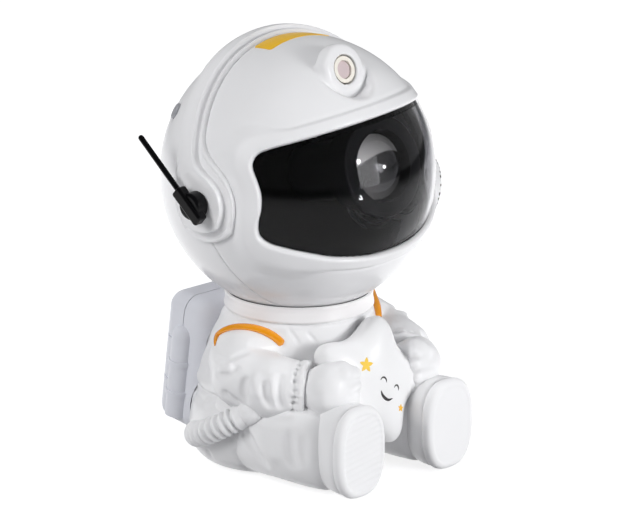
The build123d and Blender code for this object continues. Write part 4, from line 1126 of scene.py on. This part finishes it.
# ---- boots and soles ----
SOLE_X, SOLE_Y, SOLE_W, SOLE_H, SOLE_T = 29.6, -71.6, 31.0, 43.0, 6.4
SOLE_POWER = 2.55
BOOT_TAPER, BOOT_MIDDLE, BOOT_HALF = 15.0, 7.6, 8.6     # behind the sole
TREAD_EDGE, TREADS, TREAD_DEPTH, TREAD_LEAN = 3.4, 12, 0.32, 0.14


def sole_point(p, side):
    """Across, back and up from the middle of a sole's face."""
    return p[:, 0] * side - SOLE_X, p[:, 1] - SOLE_Y, p[:, 2] - SOLE_H / 2


def stadium(x, z):
    """Distance in the plane to the sole's outline, an oblong that is round all the way about."""
    a, b = SOLE_W / 2 + 0.25, SOLE_H / 2 + 0.35
    u, v = np.abs(x) / a, np.abs(z) / b
    size = np.maximum(rounded(u, v, SOLE_POWER), 1e-6)
    rise = np.hypot((u / size) ** (SOLE_POWER - 1) / a, (v / size) ** (SOLE_POWER - 1) / b)
    return (size - 1) / np.maximum(rise, 1e-6)


def boot_skin(p, side):
    x, y, z = sole_point(p, side)
    d = stadium(x, z) + 0.45 + 3.6 * np.clip((y - SOLE_T) / BOOT_TAPER, 0, 1) ** 2.4
    d = smax(d, np.abs(y - SOLE_T - BOOT_MIDDLE) - BOOT_HALF, 2.4)
    return smax(d, 0.3 - p[:, 2], 0.8)


def sole_skin(p, side):
    """Sole with a raised edge, and treads on the right one, which the photograph shows."""
    x, y, z = sole_point(p, side)
    rim = stadium(x, z)
    belly = 0.35 * bell(y - 0.55 * SOLE_T, 2.6)
    d = smax(rim + 0.35 - belly, np.abs(y - SOLE_T / 2) - SOLE_T / 2, 3.4)
    inside = switch(-(rim + TREAD_EDGE) / 0.25) * bell(np.maximum(y, 0), 1.2)
    d = d + 0.22 * inside
    if side < 0:
        tread = np.cos(2 * np.pi * (z + TREAD_LEAN * x) * TREADS / (SOLE_H - 7.0))
        d = d + TREAD_DEPTH * inside * switch(tread * 3.5)
    return d + 0.5 * bell(y - SOLE_T + 0.3, 0.35) * bell(rim, 1.2)


for side in SIDES:
    carve_side(side, "boot", boot_skin, (12, -68, -1), (47, -46, 45), 0.6)
    carve_side(side, "sole", sole_skin, (12, -73, -1), (47, -64, 45), 0.4, "sole_white")


# ---- star ----
STAR_AT = (0.0, -45.0, 43.4)
STAR_T = 21.0
STAR_LEAN, STAR_TURN, STAR_FACING = 14.0, 19.5, -10.0
STAR_MEAN_R, STAR_REACH = 26.3, 4.3
STAR_FRAME = (Matrix.Translation(STAR_AT) @ Matrix.Rotation(math.radians(STAR_FACING), 4, "Z")
              @ Matrix.Rotation(math.radians(90 - STAR_LEAN), 4, "X")
              @ Matrix.Rotation(math.radians(-STAR_TURN), 4, "Z"))
INTO_STAR = np.array(STAR_FRAME.inverted())
TIP_Z, COLLAR_ROOM = 66.0, 35.6     # above that height the star keeps clear of the collar


def star_skin(p):
    q = p @ INTO_STAR[:3, :3].T + INTO_STAR[:3, 3]
    around = np.arctan2(q[:, 0], q[:, 1])
    reach = STAR_MEAN_R + STAR_REACH * np.cos(5 * around) + 0.55 * np.cos(10 * around)
    u = np.hypot(q[:, 0], q[:, 1]) / reach
    w = np.abs(q[:, 2]) / (STAR_T / 2)
    d = ((u ** 3.0 + w ** 2.4) ** (1 / 2.7) - 1) * 10.0
    room = COLLAR_ROOM - np.hypot(p[:, 0], p[:, 1])
    return np.where(p[:, 2] > TIP_Z, smax(d, room, 0.3), d)


carve("star_skin", star_skin, (-37, -66, 6), (37, -24, 80), 0.8, ("star",), "star_white")


# ---- gloves ----
PALM = np.asarray(HAND)
PALM_TURN = np.array(Matrix.Rotation(math.radians(20), 3, "Z"))
FINGER_PITCH, FINGER_TOP = 5.8, 8.6
FINGER_R = (4.1, 4.4, 4.3, 3.9)
KNUCKLES = [        # points from the palm, depth, half width
    (((1.0, -13.5, 5.8), (-4.0, -14.0, 6.1), (-9.0, -14.0, 6.6)), 1.15, 1.2),
    (((1.5, -14.0, 0.0), (-4.0, -14.5, 0.3), (-9.0, -14.0, 0.8)), 1.2, 1.2),
    (((1.5, -13.0, -5.7), (-4.0, -13.8, -5.4), (-9.0, -14.0, -5.0)), 1.15, 1.2),
    (((10.5, -7.0, 7.0), (11.0, -8.0, 0.0), (9.5, -8.0, -7.0)), -0.3, 3.0),
    (((3.0, -6.0, 12.0), (-3.0, -9.0, 11.0), (-10.0, -10.0, 9.5)), 0.7, 1.3),
]
KNUCKLES = [([PALM + v for v in points], depth, width) for points, depth, width in KNUCKLES]


def glove_skin(p, side):
    q = p * np.array((side, 1.0, 1.0))
    d = egg(q, PALM + (0.3, -1.2, 0.3), (11.6, 11.8, 12.8), PALM_TURN)
    d = smin(d, rod(q, CUFF, HAND, 9.6, 10.4), 3.0)
    fingers = None
    for i, r in enumerate(FINGER_R):
        rise = FINGER_TOP - i * FINGER_PITCH
        points = [PALM + (1.5, -3.5, rise * 0.92), PALM + (-3.5, -8.0, rise + 0.3),
                  PALM + (-8.0, -9.0, rise + 0.4)]
        finger = chain(q, points, (r + 0.4, r, r - 0.8), 2.4)
        fingers = finger if fingers is None else smin(fingers, finger, 1.7)
    d = smin(d, fingers, 3.3)
    thumb = rod(q, PALM + (2.5, 1.0, 7.4), PALM + (-4.5, -4.6, 10.6), 4.5, 4.0)
    return folded(q, smin(d, thumb, 3.0), KNUCKLES)


for side in SIDES:
    carve_side(side, "glove", glove_skin, (8, -64, 28), (45, -30, 64), 0.6)


# ---- hose ----
HOSE = smooth_path([(-54.5, -15.3, 31.5), (-58.6, -8.0, 26.8), (-60.2, 0.5, 22.2),
                    (-57.6, 9.0, 18.6), (-51.0, 16.5, 16.0), (-43.0, 22.0, 14.0)], 10)
HOSE_LENGTH = sum(np.linalg.norm(b - a) for a, b in zip(HOSE, HOSE[1:]))
HOSE_LEAD = unit(HOSE[0] - HOSE[4])
LEAD_LENGTH = 7.0                   # straight end that runs on from the curve
HOSE_MOUTH = HOSE[0] + HOSE_LEAD * LEAD_LENGTH
HOSE_R, RIB_H, RIB_PITCH = 3.3, 2.9, 3.9


def hose_skin(p):
    far, where = along(p, [HOSE_MOUTH] + HOSE)
    s = where * (HOSE_LENGTH + LEAD_LENGTH)
    rib = np.abs(np.sin(np.pi * s / RIB_PITCH)) ** 0.55
    return (far - HOSE_R - RIB_H * rib) * 0.55


def connector_skin(p):
    d = rod(p, HOSE_MOUTH + HOSE_LEAD * 1.0, HOSE_MOUTH, 3.6, 5.2)
    lip = rod(p, HOSE_MOUTH - HOSE_LEAD * 0.2, HOSE_MOUTH - HOSE_LEAD * 1.0, 6.2, 6.2)
    return smin(d, lip, 1.0)


carve("air_hose_skin", hose_skin, (-70, -24, 6), (-34, 42, 40), 0.5, ("air_hose",))
carve("hose_connector_skin", connector_skin, (-68, -32, 18), (-38, 0, 46), 0.6,
      ("hose_connector",))


# ---- shoulder piping ----
PIPING_R = 2.0
RIGHT_PIPING_PX = ((214.8, 345.5), (215.6, 340), (218, 335), (224, 330.4), (234, 327.2),
                   (245, 326.8), (256, 328.4), (267, 332.4), (276, 338), (283, 344.6))
LEFT_PIPING_PX = ((369.4, 289.0), (373.6, 296.0), (376.6, 304.0), (377.9, 311.0), (378.3, 318.0))


def shoulder_form(p, side):
    """Torso with its right sleeve, or the same mirrored for the left."""
    q = p * np.array((-side, 1.0, 1.0))
    return smin(torso_base(q), sleeve_base(q, -1), 3.0)


def tube(name, points, radii, form, flat, look, nodes=(), sides=28):
    """Swept tube through points in mm, pressed flat against a form."""
    n = len(points)
    verts = []
    for i, (point, radius) in enumerate(zip(points, radii)):
        ahead = unit(points[min(i + 1, n - 1)] - points[max(i - 1, 0)])
        out = slope(form, point[None], 0.2)[0]
        out = unit(out - ahead * (out @ ahead))
        wide = np.cross(ahead, out)
        for k in range(sides):
            a = 2 * math.pi * k / sides
            verts.append(point + radius * (math.cos(a) * wide + flat * math.sin(a) * out))
    faces = grid(n, sides, False, True)
    faces += [tuple(range(sides))[::-1], tuple(range((n - 1) * sides, n * sides))]
    piece(name, verts, faces, look, nodes=nodes)


def piping(side, path, steps):
    """Piping that starts thin and ends round."""
    points = smooth_path(path, steps)
    radii = []
    for t in np.linspace(0, 1, len(points)):
        end = math.sqrt(max(0.02, 1 - max(0.0, (t - 0.965) / 0.035) ** 2))
        radii.append(PIPING_R * min(1.0, 0.18 + t * 3.6) * end)
    tube(f"{side}_shoulder_piping_skin", points, radii, lambda p: shoulder_form(p, SIDES[side]),
         0.72, "piping_orange", (f"{side}_shoulder_piping",))


RIGHT_PIPING = seen_at(lambda p: shoulder_form(p, -1), RIGHT_PIPING_PX)
LEFT_PIPING = ([v * (-1, 1, 1) for v in RIGHT_PIPING[:2]]
               + seen_at(lambda p: shoulder_form(p, 1), LEFT_PIPING_PX))
piping("right", RIGHT_PIPING, 8)
piping("left", LEFT_PIPING, 11)


# ---- collar ----
COLLAR = [          # radius and height round the section of the ring
    (32.4, 78.3), (33.3, 79.4), (33.75, 79.9), (34.25, 80.15), (34.75, 80.0), (35.05, 79.5),
    (35.1, 78.8), (34.95, 77.9), (34.9, 77.2), (34.95, 76.2), (35.1, 75.1), (35.3, 74.2),
    (35.45, 73.5), (35.4, 72.9), (35.0, 72.4), (34.3, 72.05), (33.6, 72.0), (32.6, 72.0)]
COLLAR_TURNS = 192
piece("neck_collar_skin", turned(COLLAR, COLLAR_TURNS),
      [(a, d, c, b) for a, b, c, d in grid(COLLAR_TURNS, len(COLLAR), True, True)], "collar_white",
      nodes=("neck_collar",))


# ---- prints on the star, at pixels of the photograph ----
STAR_PRINTS_PX = {      # middle, half width and half height, turn, look
    "star_print_large": ((366.3, 365.0), (6.9, 7.9), 0.06, "print_yellow"),
    "star_print_small": ((400.6, 408.0), (2.5, 4.0), 0.1, "print_orange"),
}
SMILE_PX = {            # points along the pen's stroke, half its width in mm
    "smile_right_eye": (((380.6, 380.0), (382.3, 377.6), (384.6, 377.4), (386.2, 379.6),
                         (386.6, 382.4)), 0.42),
    "smile_left_eye": (((394.2, 387.6), (395.6, 385.4), (397.4, 385.4), (398.5, 387.8),
                        (398.4, 390.4)), 0.42),
    "smile_mouth": (((381.2, 390.6), (382.4, 394.6), (385.2, 398.2), (388.6, 399.8),
                     (392.6, 398.4)), 0.75),
}
PRINT_RINGS, PRINT_SPOKES = 5, 40
PRINT_LIFT = 0.12


def star_rings(centre, size, turn):
    """Rings of a five-pointed star in pixels, from the middle outwards."""
    rings = []
    for i in range(PRINT_RINGS):
        share = 0.12 + 0.88 * i / (PRINT_RINGS - 1)
        for k in range(PRINT_SPOKES):
            a = 2 * math.pi * k / PRINT_SPOKES + turn
            t = (k % 8) / 8
            reach = share * (1 - 0.56 * (2 * min(t, 1 - t)) ** 0.85)
            rings.append((centre[0] + size[0] * reach * math.sin(a),
                          centre[1] - size[1] * reach * math.cos(a)))
    return rings


def painted(name, pixels, look):
    """Thin printed patch: rings of pixels laid on the star."""
    points = np.array(seen_at(star_skin, pixels))
    normal = unit(slope(star_skin, points, 0.2))
    front = grid(PRINT_RINGS, PRINT_SPOKES, False, True) + [tuple(range(PRINT_SPOKES))[::-1]]
    under = len(points)
    faces = front + [tuple(v + under for v in face)[::-1] for face in front]
    last = under - PRINT_SPOKES
    for k in range(PRINT_SPOKES):
        a, b = last + k, last + (k + 1) % PRINT_SPOKES
        faces.append((a, b, b + under, a + under))
    piece(name, [*(points + normal * PRINT_LIFT), *(points - normal * PRINT_LIFT)], faces, look)


for name, (centre, size, turn, look) in STAR_PRINTS_PX.items():
    painted(name, star_rings(centre, size, turn), look)
for name, (pixels, widest) in SMILE_PX.items():
    stroke = smooth_path(seen_at(star_skin, pixels), 6)
    ends = [math.sin(math.pi * (0.04 + 0.92 * t)) for t in np.linspace(0, 1, len(stroke))]
    tube(name, stroke, [widest * max(0.12, share) ** 0.7 for share in ends], star_skin, 0.22,
         "print_ink", sides=12)
